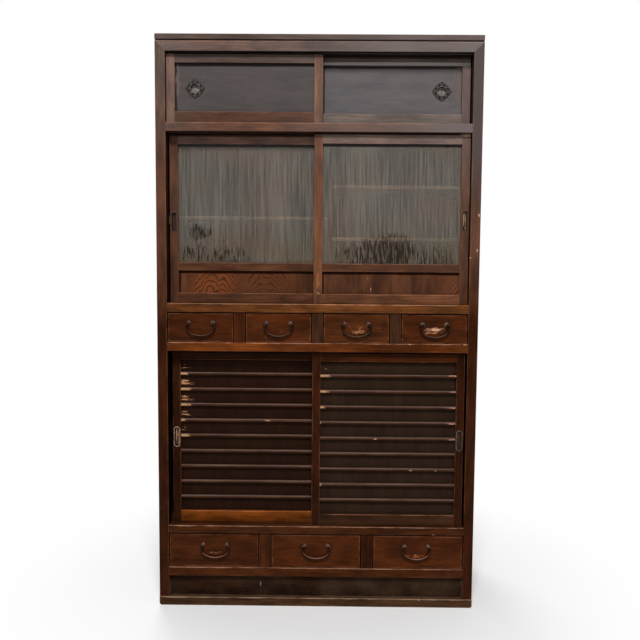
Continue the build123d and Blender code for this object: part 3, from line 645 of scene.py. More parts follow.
# The pale mark at 1709 mm along the right door's top rail is a painted band of light on its lower edge.
upper_lacquer = lacquer("upper door lacquer", 0.16, streaks=0.35, arris=0.4, elsewhere=0.7, fade=0.4,
                        sheen_tint=upper_sheen, head=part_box("top_rail")[0].z,
                        marks=[((226, -170, 1709), (300, 9, 4), 0.75, tint(150, 142, 136))])
glass_door_lacquer = lacquer("glass door lacquer", 0.12, streaks=0.38, elsewhere=0.5, fade=0.5,
                             head=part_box("upper_sill")[0].z,
                             marks=[((456, -194, 1494), (16, 9, 5), 0.65, PALE),
                                    ((1, -195, 1004), (7, 5, 7), 0.3, TAN),
                                    ((-160, -170, 1006), (6, 5, 4), 0.35, PALE),
                                    ((-78, -170, 1007), (5, 5, 4), 0.4, PALE),
                                    ((0, -195, 1060), (14, 6, 80), 0.3, ORANGE)])
slatted_door_lacquer = lacquer("slatted door lacquer", streaks=0.38, arris=0.8, elsewhere=0.45, dust=0.04,
                               head=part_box("lower_head")[0].z,
                               marks=[((-444, -171, 660), (12, 6, 70), 0.02, TAN),
                                      ((-240, -171, 275), (120, 6, 9), 0.25, tint(120, 66, 26))])
print("case and door lacquers made")

# %% [markdown]
# ### Drawer fronts
# The fronts are the smoothest boards, planed and lacquered twice. Behind each bail the finger tips
# have gone through the lacquer to a coppery undercoat, on some drawers down to the wood. Each worn
# place is given by its own spot on the cabinet, so all seven drawers share one material.

# %% Materials of the drawers, slats and panels
drawers = [f"small_drawer_{number}" for number in (1, 2, 3, 4)]
drawers += [f"large_drawer_{number}" for number in (1, 2, 3)]


def scraped_ends_and_lit_tops(tree, board, colour):
    """The left ends of the upper slats, scraped to bare wood, and a painted highlight along each slat's
    top.
    """
    along = axes(tree, board["place"])[0]
    half = axes(tree, board["half"])[0]
    shift = vectors(tree, "MULTIPLY_ADD", board["seed"], (3.0, 5.0, 7.0), board["place"])
    ragged = cloud(tree, stretch(tree, shift, (70.0, 420.0, 420.0)), 1.0, 4.0, 0.7)
    scrape = maths(tree, "MULTIPLY_ADD", board["worn"], 0.045, 0.0001)
    spent = maths(tree, "DIVIDE", plus(tree, along, half), scrape)
    left = minus(tree, maths(tree, "MULTIPLY_ADD", ragged, 2.2, -0.25), spent)
    mask = step(tree, left, 0.0, 0.2)
    colour = blend(tree, mask, colour, blend(tree, ragged, tint(150, 100, 62), tint(214, 170, 126)))
    speck = step(tree, cloud(tree, stretch(tree, shift, (40.0, 160.0, 160.0)), 1.0, 4.0, 0.7), 0.68, 0.74)
    colour = blend(tree, times(tree, speck, 0.7), colour, tint(150, 112, 88))
    # A pale line along the top of each slat is a painted highlight of the light from above.
    from_top = axes(tree, board["high"])[2]
    uneven = cloud(tree, stretch(tree, shift, (9.0, 40.0, 40.0)), 1.0, 3.0)
    uneven = step(tree, uneven, 0.3, 0.7, 0.45, 1.0)
    lit_top_line = times(tree, step(tree, from_top, 3.0 * MM, 1.6 * MM), uneven)
    return blend(tree, lit_top_line, colour, tint(103, 83, 75))


def flames(*centres):
    """Arched figure of a flat-sawn board, about one or more middles (x in mm)."""
    def add(tree, board, colour):
        place = own_place(tree)
        spot = axes(tree, place)
        for centre, spread, light in centres:
            across = minus(tree, spot[0], centre * MM)
            arch = times(tree, across, across, 700.0)
            wobble = cloud(tree, stretch(tree, place, (26.0, 26.0, 14.0)), 1.0, 3.0)
            arch = maths(tree, "MULTIPLY_ADD", wobble, 4.4, arch)
            lines = maths(tree, "MULTIPLY_ADD", spot[2], 52.0, arch)
            wave = maths(tree, "PINGPONG", lines, 0.5)
            figure = step(tree, wave, 0.02, 0.24)
            near = step(tree, unsigned(tree, across), spread * MM, spread * 0.3 * MM)
            patchy = cloud(tree, stretch(tree, place, (14.0, 14.0, 20.0)), 1.0, 3.0)
            near = times(tree, near, step(tree, patchy, 0.3, 0.62, 0.25, 1.0))
            colour = blend(tree, near, colour, blend(tree, figure, tint(60, 30, 15), light))
        return colour
    return add


def shadow_under_bails(tree, board, colour):
    """Painted shadow in the wedge between each hanging bail and its drawer front."""
    place = own_place(tree)
    bar, wedge = 4 * MM, 3 * MM      # the bar's thickness, and how deep the wedge goes behind it
    for drawer in drawers:
        low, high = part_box(drawer + "_bail")
        middle = ((low.x + high.x) / 2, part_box(drawer + "_box")[0].y, high.z - bar)
        bow = ((high.x - low.x - bar) / 2, wedge, high.z - low.z - bar)
        line = use(tree, bail_shadow, {"Place": place, "Middle": middle, "Bow": bow})
        colour = under_painted_shade(tree, line["Mask"], colour)
    return colour


def darker_uprights(tree, board, colour):
    """The upright partition is the brown of the case; only the shelves are pale."""
    whole = vectors(tree, "ADD", board["low"], board["high"])
    height = axes(tree, whole)[2]
    return blend(tree, step(tree, height, 0.1, 0.2), colour, STAINS["cherry"])


groove_reach = 5.5           # mm of every panel that is hidden in its grooves
drawer_front_thickness = 18 * MM
drawer_marks = [((-352, -208, 891), (34, 4, 8), 0.12, tint(112, 70, 48)),
                ((-121, -208, 890), (56, 4, 26), 0.16, tint(106, 66, 46)),
                ((124, -208, 890), (54, 4, 28), 0.26, tint(158, 104, 70)),
                ((122, -208, 884), (26, 4, 7), 0.3, PINK), ((190, -208, 894), (26, 4, 22), 0.12, ORANGE),
                ((78, -208, 880), (20, 4, 18), 0.14, ORANGE), ((366, -208, 893), (40, 4, 9), 0.4, PINK),
                ((358, -208, 883), (44, 4, 6), 0.34, tint(176, 120, 84)),
                ((366, -208, 893), (22, 4, 4), 0.4, PALE), ((362, -208, 888), (60, 4, 22), 0.02, ORANGE),
                ((-324, -208, 172), (44, 4, 14), 0.24, tint(160, 106, 74)),
                ((2, -208, 168), (44, 4, 18), 0.08, ORANGE),
                ((318, -208, 167), (46, 4, 10), 0.3, tint(164, 100, 58)),
                ((-160, -208, 868), (9, 4, 8), 0.2, TAN)]
drawer_front_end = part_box("small_drawer_1_box")[0].y + drawer_front_thickness
# Painted shade lines in the gaps round each front, and a painted shadow under each bail.
drawer_lacquer = lacquer("drawer lacquer", 0.08, streaks=0.3, arris=0.5, arris_width=0.005, elsewhere=0.7,
                         roughness=0.34, dust=0.0, marks=drawer_marks, grit=3600.0,
                         extra=shadow_under_bails, gap_end=drawer_front_end,
                         dirt=[("top", 3.2, 0.95), ("left", 2.4, 0.95), ("right", 2.4, 0.95)])

slat_chips = [((432, -192, level), (34, 5, 3), 0.34, PINK) for level in (746, 695, 644, 593, 542)]
slat_chips += [((186, -192, 542), (6, 5, 3), 0.4, PALE), ((300, -192, 441), (8, 5, 3), 0.4, TAN),
               ((-160, -168, 593), (16, 5, 3), 0.4, TAN), ((380, -192, 441), (10, 5, 3), 0.3, PINK)]
slat_lacquer = lacquer("slat lacquer", 0.1, streaks=0.3, arris=0.3, arris_width=0.0012, dust=0.0,
                       dirt=[("bottom", 3.6, 0.75)], marks=slat_chips, grit=2400.0, extra=scraped_ends_and_lit_tops)

# Painted shade under the top rail and beside the left stile of a panel.
panel_shade_lines = [("top", groove_reach + 10.0, 0.97), ("left", groove_reach + 7.0, 0.85)]
upper_panel_finish = lacquer("faded panel lacquer", 0.16, streaks=0.12, arris=0.0, dust=0.04, mottling=0.3,
                             roughness=0.5, fade=0.12, sheen_tint=(1.0, 1.0, 1.0), dirt=panel_shade_lines,
                             grit=3600.0,
                             marks=[((-434, -184, 1645), (16, 9, 90), 0.36, tint(88, 76, 71)),
                                    ((434, -160, 1650), (28, 9, 110), 0.4, tint(93, 81, 77)),
                                    ((428, -160, 1610), (34, 9, 60), 0.2, tint(98, 82, 74)),
                                    ((20, -160, 1660), (60, 9, 90), 0.1, tint(104, 78, 64)),
                                    ((-330, -184, 1660), (150, 9, 60), 0.1, tint(92, 92, 98))])

slat_scuffs = [((-426, -158, level - rise), (reach, 9, 5), cover, TAN)
               for level, cover in ((763, 0.2), (712, 0.45), (661, 0.4), (612, 0.34), (561, 0.24))
               for rise, reach in ((3, 40), (-6, 18))]
slat_scuffs += [((28, -182, level), (36, 9, 7), 0.16, TAN) for level in (762, 711)]
slat_scuffs += [((424, -182, level), (40, 9, 9), 0.06, TAN) for level in (760, 709, 610)]
dark_panel_finish = lacquer("dark panel lacquer", 0.05, streaks=0.14, arris=0.0, dust=0.02, mottling=0.45,
                            roughness=0.5, dirt=[("top", groove_reach + 6.0, 0.8)], marks=slat_scuffs,
                            grit=2600.0)
base_finish = lacquer("dusty base wood", 0.05, streaks=0.65, arris=0.95, arris_width=0.003, dust=0.3,
                      arris_colour=tint(158, 132, 108), roughness=0.6, gap_shade=0.0,
                      marks=[((-177, -196, 66), (2, 5, 12), 0.5, tint(110, 98, 86)),
                             ((331, -213, 25), (5, 5, 3), 0.4, PALE),
                             ((-250, -196, 50), (60, 5, 5), 0.05, tint(100, 86, 74))])
side_finish = lacquer("side panel lacquer", 0.08, streaks=0.35, arris=0.2, fade=0.4, gap_shade=0.0)
inner_finish = lacquer("bare inner wood", streaks=0.5, arris=0.3, dust=0.12, mottling=0.5, roughness=0.65,
                       gap_shade=0.0)
shelf_finish = lacquer("shelf wood", streaks=0.3, arris=0.2, dust=0.1, roughness=0.65, gap_shade=0.0,
                       extra=darker_uprights,
                       stain=by_height((0.1, "walnut"), (0.95, "walnut"), (1.0, "pale cedar"),
                                       (1.7, "pale cedar")))
figured_left = lacquer("flame panel lacquer", streaks=0.3, arris=0.0, dust=0.03, dirt=panel_shade_lines,
                       extra=flames((-325, 130, tint(110, 60, 32)), (-170, 150, tint(86, 49, 30))))
figured_right = lacquer("plain panel lacquer", streaks=0.14, arris=0.0, dust=0.03, dirt=panel_shade_lines,
                        extra=flames((480, 150, tint(98, 58, 40))),
                        marks=[((157, -184, 1050), (3, 9, 22), 0.35, tint(150, 112, 84)),
                               ((166, -184, 1016), (3, 9, 16), 0.35, tint(150, 112, 84))])
print(len(bpy.data.materials), "materials so far")

# %% [markdown]
# ## Boards
# The measured frame stores each sub-part as loose triangles, several boards to an object. A board is
# a closed skin: walking through the triangles, a board is complete when every edge has met its
# partner. Each board is welded on its own, so that boards that touch stay apart, then flat faces are
# dissolved and the corners get a small round.

# %% Split a sub-part into its boards
def boards_of(mesh):
    """The triangles of each closed board; a corner is its rounded place and its exact one."""
    same_spot = 0.001 * MM
    spots = [tuple(round(c / same_spot) for c in vertex.co) for vertex in mesh.vertices]
    boards, open_edges = [[]], set()
    for face in mesh.polygons:
        boards[-1].append([(spots[i], mesh.vertices[i].co) for i in face.vertices])
        ring = [spots[i] for i in face.vertices]
        for start, end in zip(ring, ring[1:] + ring[:1]):
            if (end, start) in open_edges:
                open_edges.remove((end, start))
            else:
                open_edges.add((start, end))
        if not open_edges:
            boards.append([])
    return boards[:-1]


def welded(node, name):
    """A new object with every board of a CAD node as one closed skin."""
    shape = bmesh.new()
    for board in boards_of(frame["nodes"][node].data):
        corners = {}
        for face in board:
            for spot, place in face:
                if spot not in corners:
                    corners[spot] = shape.verts.new(place)
            ring = [corners[spot] for spot, place in face]
            if len(set(ring)) == len(ring):
                shape.faces.new(ring)
    mesh = bpy.data.meshes.new(name)
    shape.to_mesh(mesh)
    shape.free()
    return new_object(name, mesh)


# %% [markdown]
# Every board then gets its own coordinates. The longest side of a board is the way its grain runs,
# unless a panel was cut the other way. The shader needs the place on the board, the board's half
# size, how far it is to the low and the high end of each side, a random seed, how worn the board is
# and its stain; all of them are written as attributes.

# %% Write each board's own coordinates
def islands(mesh):
    """The vertices of each separate skin in a mesh."""
    parent = list(range(len(mesh.vertices)))

    def root(index):
        while parent[index] != index:
            parent[index] = parent[parent[index]]
            index = parent[index]
        return index

    for edge in mesh.edges:
        first, second = (root(index) for index in edge.vertices)
        parent[max(first, second)] = min(first, second)
    groups = {}
    for index in range(len(parent)):
        groups.setdefault(root(index), []).append(index)
    return [groups[key] for key in sorted(groups)]


def write_board_attributes(piece, stains, worn=(0.0,), grain=None):
    """Give each board its place, half size, seed, wear and stain."""
    mesh = piece.data
    for fact, (kind, output) in BOARD_FACTS.items():
        mesh.attributes.new("board_" + fact, kind, "POINT")
    layer = {fact: mesh.attributes["board_" + fact].data for fact in BOARD_FACTS}
    dice = random.Random(piece.name)
    for number, indices in enumerate(islands(mesh)):
        places = [mesh.vertices[i].co for i in indices]
        low = Vector(min(p[axis] for p in places) for axis in range(3))
        high = Vector(max(p[axis] for p in places) for axis in range(3))
        half, centre = (high - low) / 2, (high + low) / 2
        order = sorted(range(3), key=lambda axis: -half[axis])
        if grain is not None:
            order.remove(grain)
            order.insert(0, grain)
        stain = STAINS[stains(low, high) if callable(stains) else stains[number % len(stains)]]
        seed = dice.random()
        lift = 0.92 + 0.16 * dice.random()
        wear = worn[number % len(worn)]
        for index in indices:
            place = mesh.vertices[index].co - centre
            layer["place"][index].vector = [place[axis] for axis in order]
            layer["half"][index].vector = [half[axis] for axis in order]
            layer["low"][index].vector = mesh.vertices[index].co - low
            layer["high"][index].vector = high - mesh.vertices[index].co
            layer["seed"][index].value = seed
            layer["worn"][index].value = wear
            layer["stain"][index].color = [c * lift for c in stain[:3]] + [1.0]


# %% [markdown]
# With these helpers a sub-part is finished in a few steps. Limited dissolve turns the triangles back
# into flat faces, a bevel rounds the corners, and its hardened normals keep the broad faces flat in
# the light.

# %% Finish one sub-part
def finish_boards(node, material, stains, worn=(0.0,), grain=None,
                  round_off=0.3 * MM):
    """A welded copy of a CAD node with rounded corners, its attributes and its finish."""
    piece = welded(node, node + "_finished")
    start_editing(piece)
    bpy.ops.mesh.dissolve_limited(angle_limit=radians(0.5))
    stop_editing()
    rounding = piece.modifiers.new("round off", "BEVEL")
    rounding.width = round_off
    rounding.segments = 2
    rounding.limit_method = "ANGLE"
    rounding.angle_limit = radians(25)
    rounding.use_clamp_overlap = False
    rounding.harden_normals = True
    bpy.ops.object.modifier_apply(modifier=rounding.name)
    write_board_attributes(piece, stains, worn, grain)
    piece.data.materials.append(material)
    settle(piece, node)


# %% [markdown]
# Each joint between two back boards is closed by a loose tongue, a thin strip that sits in a groove
# of both. The boards are sorted from side to side, so that each gap between neighbours is a joint.

# %% Loose tongues in the back
tongue_depth = 4 * MM        # how far a tongue goes into each of its two boards
tongue_thickness = 2 * MM
tongue_shortening = 4 * MM


def back_joints():
    """The two sides of each joint between the back boards."""
    sides = []
    for board in boards_of(frame["nodes"]["back_boards"].data):
        across = [place.x for face in board for spot, place in face]
        sides.append((min(across), max(across)))
    sides.sort()
    return [(left[1], right[0]) for left, right in zip(sides, sides[1:])]


def loose_tongue(name, x, width):
    """A thin strip that sits in the edges of two back boards and closes the joint between them."""
    low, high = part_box("back_boards")
    tongue = added(bpy.ops.mesh.primitive_cube_add, name, size=1.0,
                   location=(x, (low.y + high.y) / 2, (low.z + high.z) / 2),
                   scale=(width, tongue_thickness, high.z - low.z - tongue_shortening))
    bpy.ops.object.transform_apply(location=True, rotation=True, scale=True)
    start_editing(tongue)
    bpy.ops.mesh.bevel(offset=0.4 * MM, segments=2)
    stop_editing(40)
    write_board_attributes(tongue, ["peat"])
    return tongue


# %% [markdown]
# ### The case
# Posts, rails, base and top. The rails were lacquered from one pot, but each has faded by its height
# and by how often it is touched, so the stain is chosen rail by rail.

# %% Case boards
case_looks = {
    "bottom_rail": (rail_lacquer, "cherry"),
    "lower_sill": (rail_lacquer, "sill cherry"),
    "lower_head": (rail_lacquer, "chestnut"),
    "middle_rail": (rail_lacquer, "amber brown"),
    "upper_sill": (upper_rail_lacquer, "worn copper"),
    "top_rail": (upper_rail_lacquer, "faded rose"),
    "top_board": (top_board_lacquer, "deep ash"),
    "left_front_post": (post_lacquer, "dark cherry"),
    "right_front_post": (post_lacquer, "dark cherry"),
    "side_and_rear_framing": (post_lacquer, "dark cherry"),
}
for node, (finish, stain) in case_looks.items():
    finish_boards(node, finish, [stain])


def divider_stain(low, high):
    """Runners are bare; the dividers are redder at the foot and at the left."""
    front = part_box("drawer_dividers")[0].y
    if low.y > front + 5 * MM:
        return "bare"
    if low.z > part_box("lower_head")[0].z:
        return "dark cherry" if high.x < -0.1 else "divider brown"
    return "cherry" if high.x < 0.0 else "dark cherry"


finish_boards("drawer_dividers", divider_lacquer, divider_stain)
finish_boards("side_panels", side_finish, ["cherry"])
finish_boards("back_boards", inner_finish, ["umber", "deep umber", "amber brown", "umber", "warm umber"])
for number, (left, right) in enumerate(back_joints()):
    width = right - left + 2 * tongue_depth
    tongue = loose_tongue(f"back_tongue_{number + 1}", (left + right) / 2, width)
    tongue.data.materials.append(inner_finish)
    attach(tongue, "case")
for node in ("decks", "inner_shelves"):
    finish_boards(node, shelf_finish, ["bare"])
for node, stain in (("base_frame", "dust brown"), ("kick_board", "peat")):
    finish_boards(node, base_finish, [stain])
print("case boards finished")

# %% [markdown]
# ### The doors
# A door is two stiles and two or three rails round a panel. The stile in the middle of the cabinet is
# where the hand goes, so it has kept a redder, cleaner colour than the others.

# %% Doors
frame_looks = {
    "upper_left": (upper_lacquer, ["dusky rose", "rose copper", "umber", "smoked umber"]),
    "upper_right": (upper_lacquer, ["ash brown", "grey plum", "dry ash", "smoked umber"]),
    "glass_left": (glass_door_lacquer, ["umber", "umber", "umber", "umber", "dusky rose"]),
    "glass_right": (glass_door_lacquer, ["worn copper", "umber", "warm umber", "umber", "sooty rose"]),
    "slatted_left": (slatted_door_lacquer,
                     ["black cherry", "black cherry", "golden chestnut", "black cherry"]),
    "slatted_right": (slatted_door_lacquer,
                      ["black cherry", "black cherry", "divider brown", "dark cherry"]),
}
for door, (finish, stains) in frame_looks.items():
    finish_boards(door + "_door_frame", finish, stains)
panel_looks = {"left": (figured_left, "slate", "umber", "sooty peat"),
               "right": (figured_right, "pale slate", "umber", "olive peat")}
for side, (figured, upper, low, slatted) in panel_looks.items():
    finish_boards(f"upper_{side}_door_panel", upper_panel_finish, [upper])
    finish_boards(f"glass_{side}_door_panel", figured, [low], grain=2)
    finish_boards(f"slatted_{side}_door_panel", dark_panel_finish, [slatted], grain=2)
scrapes = {"left": (0, 0, 0, 0, 0.8, 0.5, 1.0, 1.0, 0.8), "right": (0, 0.3, 0, 0, 0, 0.2, 0.5, 0.8, 0.9)}
for side, worn in scrapes.items():
    finish_boards(f"slatted_{side}_door_slats", slat_lacquer, ["deep umber"], worn=worn)
print("doors finished")

# %% [markdown]
# The first board of a drawer is its front. It is the only one that was lacquered; the sides, the back
# and the bottom stay bare.

# %% Drawers
front_stains = ["drawer cherry", "warm drawer cherry", "red cherry"] + ["warm drawer cherry"] * 4
for drawer, stain in zip(drawers, front_stains):
    finish_boards(drawer + "_box", drawer_lacquer, [stain, "bare", "bare", "bare", "bare"],
                  round_off=0.8 * MM)
print("drawers finished")

# %% [markdown]
# ## Iron
# The pulls and bails are blackened iron. Oil and hands have polished the high places, and the
# hollows hold brown rust and wax. Roughness and colour both follow soft noise, and the metal is only
# partly bare, so it is mixed from a dull skin rather than drawn as clean chrome.

# %% Iron finishes
def iron(name, dark, rubbed, rust, roughness, metal, extra, skin=0.1, edge=(1.0, 1.0, 1.0)):
    """Blackened iron with brown hollows and paler rubbed places."""
    material, tree, shader = new_material(name, Metallic=metal, Specular_IOR_Level=skin,
                                          Specular_Tint=(*edge, 1.0))
    place = own_place(tree)
    patches = step(tree, cloud(tree, place, 130.0, 4.0, 0.6), 0.35, 0.68)
    fine = cloud(tree, place, 900.0, 2.0, 0.6)
    colour = blend(tree, patches, dark, rubbed)
    colour = blend(tree, times(tree, step(tree, fine, 0.5, 0.75), 0.5), colour, rust)
    tree.links.new(extra(tree, colour), shader.inputs["Base Color"])
    tree.links.new(maths(tree, "MULTIPLY_ADD", fine, 0.3, roughness - 0.15), shader.inputs["Roughness"])
    bump = put(tree, "ShaderNodeBump", {"Strength": 0.35, "Distance": 0.0004, "Height": fine})
    tree.links.new(bump.outputs["Normal"], shader.inputs["Normal"])
    return material


def rubbed_and_lit_top(tree, colour, shade=tint(124, 92, 74)):
    """Bars and knobs are paler where they face up: rubbed, and a painted highlight of the light from
    above.
    """
    up = step(tree, axes(tree, own_normal(tree))[2], 0.1, 0.9)
    return blend(tree, times(tree, up, 0.5), colour, shade)


def rubbed_and_lit_brown(tree, colour):
    """The bails of the large drawers are paler on top in a warmer brown: rubbed, and a painted highlight.
    """
    return rubbed_and_lit_top(tree, colour, tint(170, 124, 108))


def black_hollows(tree, colour):
    """The hollows of the chasing stay black; the crests are rubbed, with a painted highlight where they
    face up.
    """
    height = put(tree, "ShaderNodeAttribute", attribute_name="chased_height").outputs["Fac"]
    crest = step(tree, height, 0.25, 1.15)
    return blend(tree, crest, tint(17, 13, 12), rubbed_and_lit_top(tree, colour))


brown_edge = (0.42, 0.24, 0.17)      # the skin of rust and wax turns a glancing light brown
bail_iron = iron("bail iron", tint(24, 15, 11), tint(50, 34, 26), tint(44, 25, 17), 0.5, 0.25,
                 rubbed_and_lit_top, skin=0.02, edge=brown_edge)
brown_bail_iron = iron("brown bail iron", tint(30, 14, 8), tint(62, 37, 27), tint(54, 26, 15), 0.5, 0.25,
                       rubbed_and_lit_brown, skin=0.02, edge=brown_edge)
post_iron = iron("post iron", tint(30, 21, 16), tint(66, 48, 38), tint(56, 34, 23), 0.5, 0.3,
                 rubbed_and_lit_top, skin=0.03, edge=brown_edge)
rosette_iron = iron("rosette iron", tint(80, 60, 50), tint(146, 120, 104), tint(86, 56, 42), 0.45, 0.3,
                    black_hollows, skin=0.03, edge=brown_edge)
print("iron finishes made")

# %% [markdown]
# ### The bails
# A bail is one round bar, bent by the smith over a former: in through the eye, round a tight curl,
# down a short upright and along a shallow bow. Walking those bends one after the other gives the
# path. The bar was drawn out thinner towards its ends, so each point of the curve has its own radius
# before the curve becomes a mesh.

# %% Walk round the bends of a bail
post_half_gap = 37.0     # mm from the middle of a handle to each of its posts
pin_inner = 3.2
eye_half = 1.6
curl_radius, side_radius, foot_radius = 6.0, 25.0, 64.0


def bail_path():
    """Points of the bar in mm, from the right pin to the left one, with the drop downwards."""
    curl, side, foot = (curl_radius, 85.0), (side_radius, 65.0), (foot_radius, 60.0)
    pin, upright = (pin_inner + eye_half, None), (3.5, None)
    points, heading = [Vector((post_half_gap - pin_inner, 0.0, 0.0))], 0.0
    for size, turn in (pin, curl, upright, side, foot, side, upright, curl, pin):
        pieces = 1 if turn is None else 10
        for _ in range(pieces):
            half_turn = 0.0 if turn is None else radians(turn) / pieces / 2
            stride = size if turn is None else 2 * size * sin(half_turn)
            heading -= half_turn
            points.append(points[-1] + stride * Vector((cos(heading), 0.0, sin(heading))))
            heading -= half_turn
    return points


# %% Forge one bail as a mesh
def forged_bail():
    """A bar that swells towards the foot of its bow, made along the path."""
    points = bail_path()
    curve = bpy.data.curves.new("bail", "CURVE")
    curve.dimensions = "3D"
    curve.bevel_depth = MM
    curve.bevel_resolution = 4
    curve.use_fill_caps = True
    bar = curve.splines.new("POLY")
    bar.points.add(len(points) - 1)
    for number, point in enumerate(points):
        bar.points[number].co = (*(point * MM), 1.0)
        bar.points[number].radius = 2.2 + 0.9 * sin(pi * number / (len(points) - 1)) ** 2
    only(new_object("bail", curve))
    bpy.ops.object.convert(target="MESH")
    made = bpy.context.object
    start_editing(made)
    bpy.ops.mesh.remove_doubles(threshold=0.01 * MM)
    face_outward()
    stop_editing()
    return made


def placed_copy(template, name, place):
    """A copy with its own mesh, its place in the mesh and the object at the origin."""
    mesh = template.data.copy()
    mesh.transform(Matrix.Translation(place))
    mesh.name = name
    return new_object(name, mesh)


bail_template = forged_bail()
pivots = {}
for drawer in drawers:
    low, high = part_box(drawer + "_bail")
    bar_radius = (high.y - low.y) / 2
    pivots[drawer] = Vector(((low.x + high.x) / 2, (low.y + high.y) / 2, high.z - bar_radius))
    piece = placed_copy(bail_template, drawer + "_bent_bar", pivots[drawer])
    piece.data.materials.append(brown_bail_iron if drawer.startswith("large") else bail_iron)
    settle(piece, drawer + "_bail")
bpy.data.objects.remove(bail_template)
print(len(pivots), "bails bent")

# %% [markdown]
# ### Rosettes
# Each end of a bail hangs from an eye that comes out of a small domed flower. The flower starts as a
# flattened ball; every second pair of meridians is pressed in, which leaves eight petals, and the
# back half is cut away where it would sink into the drawer front.

# %% Raise one rosette and copy it
petals = 8
rosette_radius = 8.4 * MM
rosette_height = 3.4 * MM
eye_reach = 8.5 * MM     # from the drawer front to the middle of the eye

rosette = added(bpy.ops.mesh.primitive_uv_sphere_add, "rosette", segments=4 * petals, ring_count=16,
                radius=rosette_radius, rotation=(pi / 2, 0.0, 0.0))
bpy.ops.object.transform_apply(location=False, rotation=True, scale=False)
heights = rosette.data.attributes.new("chased_height", "FLOAT", "POINT")
for number, vertex in enumerate(rosette.data.vertices):
    x, y, z = vertex.co
    turn = Vector((x, z)).angle_signed(Vector((1.0, 0.0)), 0.0)
    out = Vector((x, z)).length / rosette_radius
    petal = 0.5 + 0.5 * cos(petals * turn)
    button = 3 * max(0.0, 0.45 - out)
    heights.data[number].value = 1.2 * min(1.0, 0.25 + petal + button) * (1.1 - out ** 4)
    dent = 1.0 - 0.09 * (1.0 - petal)
    vertex.co = (x * dent, y * rosette_height / rosette_radius * dent, z * dent)
start_editing(rosette)
bpy.ops.mesh.bisect(plane_co=(0.0, 0.0, 0.0), plane_no=(0.0, 1.0, 0.0), clear_outer=True, use_fill=True)
stop_editing(60)
for drawer in drawers:
    finish_boards(drawer + "_handle_posts", post_iron, ["peat"], round_off=0.4 * MM)
    for side, name in ((-1, "_left_rosette"), (1, "_right_rosette")):
        place = pivots[drawer] + Vector((side * post_half_gap * MM, eye_reach, 0.0))
        piece = placed_copy(rosette, drawer + name, place)
        piece.data.materials.append(rosette_iron)
        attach(piece, drawer)
bpy.data.objects.remove(rosette)
print("rosettes:", 2 * len(drawers))

# %% [markdown]
# ### Long finger cups
# The tall sliding doors have long sunk cups with a flat rim. The rim is polished by fingers, the cup
# stays dark, and its floor shows a warm brown where the black has gone. The distance from the middle
# line of the oblong tells rim from cup.

# %% Finish the long cups
cup_half_width = 6.0 * MM


def rim_and_floor(tree, colour):
    """A pale rim as strong as the piece's own wear, and a floor in the piece's stain."""
    board = board_inputs(tree)
    place = axes(tree, board["place"])
    half = axes(tree, board["half"])
    straight = minus(tree, half[0], half[1])
    beyond = greater(tree, minus(tree, unsigned(tree, place[0]), straight), 0.0)
    out = length(tree, put(tree, "ShaderNodeCombineXYZ", {0: beyond, 1: place[1]}).outputs[0])
    outer = step(tree, out, minus(tree, half[1], 2.4 * MM), minus(tree, half[1], 1.4 * MM))
    ragged = step(tree, cloud(tree, board["place"], 160.0, 3.0), 0.3, 0.55, 0.3, 1.0)
    worn = times(tree, outer, ragged, board["worn"])
    colour = blend(tree, worn, colour, tint(214, 178, 158))
    inside = step(tree, out, cup_half_width * 0.95, cup_half_width * 0.4)
    glow = step(tree, cloud(tree, stretch(tree, board["place"], (30.0, 160.0, 60.0)), 1.0), 0.4, 0.6)
    return blend(tree, times(tree, inside, glow), colour, board["stain"])


cup_iron = iron("cup iron", tint(28, 21, 18), tint(54, 41, 34), tint(52, 34, 25), 0.42, 0.2,
                rim_and_floor)
cup_looks = {"glass_left_door": ("umber", 0.14), "glass_right_door": ("bare", 0.12),
             "slatted_left_door": ("bare", 0.75), "slatted_right_door": ("umber", 0.2)}
for door, (floor_stain, worn) in cup_looks.items():
    finish_boards(door + "_pull", cup_iron, [floor_stain], (worn,), round_off=0.35 * MM)
print(len(cup_looks), "long cups finished")

# %% [markdown]
# ### Chased pulls
# The upper doors have round cups in a chased plate: a lozenge with a scalloped edge, a raised border
# and a ring of leaves. Such a plate is hammered from the front, so it is built as sheet: a grid is
# wrapped once round the cup, and its height follows a formula for border, leaves and veins. The same
# height is kept as an attribute, because the hollows of chased iron stay black.

# %% Shape of the chased plate
plate_half_diagonal = 30.0
plate_corner_power = 1.32
plate_thickness = 0.96
scallops = 16
scallop_depth = 1.5
leaves = 8
leaf_end = 0.65              # share of the way from the ring to the edge
beads_round = 24
ring_radius = 16.4


def plate_edge(turn):
    """Distance from the middle to the plate's edge, in mm."""
    power = plate_corner_power
    lozenge = plate_half_diagonal * (abs(cos(turn)) ** power + abs(sin(turn)) ** power) ** (-1 / power)
    return lozenge - scallop_depth * (1 - abs(cos(scallops * turn / 2)))


def plate_height(turn, out):
    """Height of the chasing above the plate's face, in mm; out runs from 0 at the ring to 1."""
    swell = sin(pi * min(1.0, out / leaf_end))
    border = 0.9 * max(0.0, 1.0 - ((out - 0.76) / 0.12) ** 2)
    leaf = abs(cos(leaves * turn / 2)) ** 0.7 * swell ** 0.8
    vein = 0.35 * max(0.0, 1.0 - abs(((leaves * turn / pi) % 2) - 1) / 0.16) * swell
    beads = 0.4 * max(0.0, 1.0 - abs(out - 0.67) / 0.07) * abs(cos(beads_round * turn / 2))
    return border + 0.8 * leaf + beads - vein if out < 0.99 else 0.0


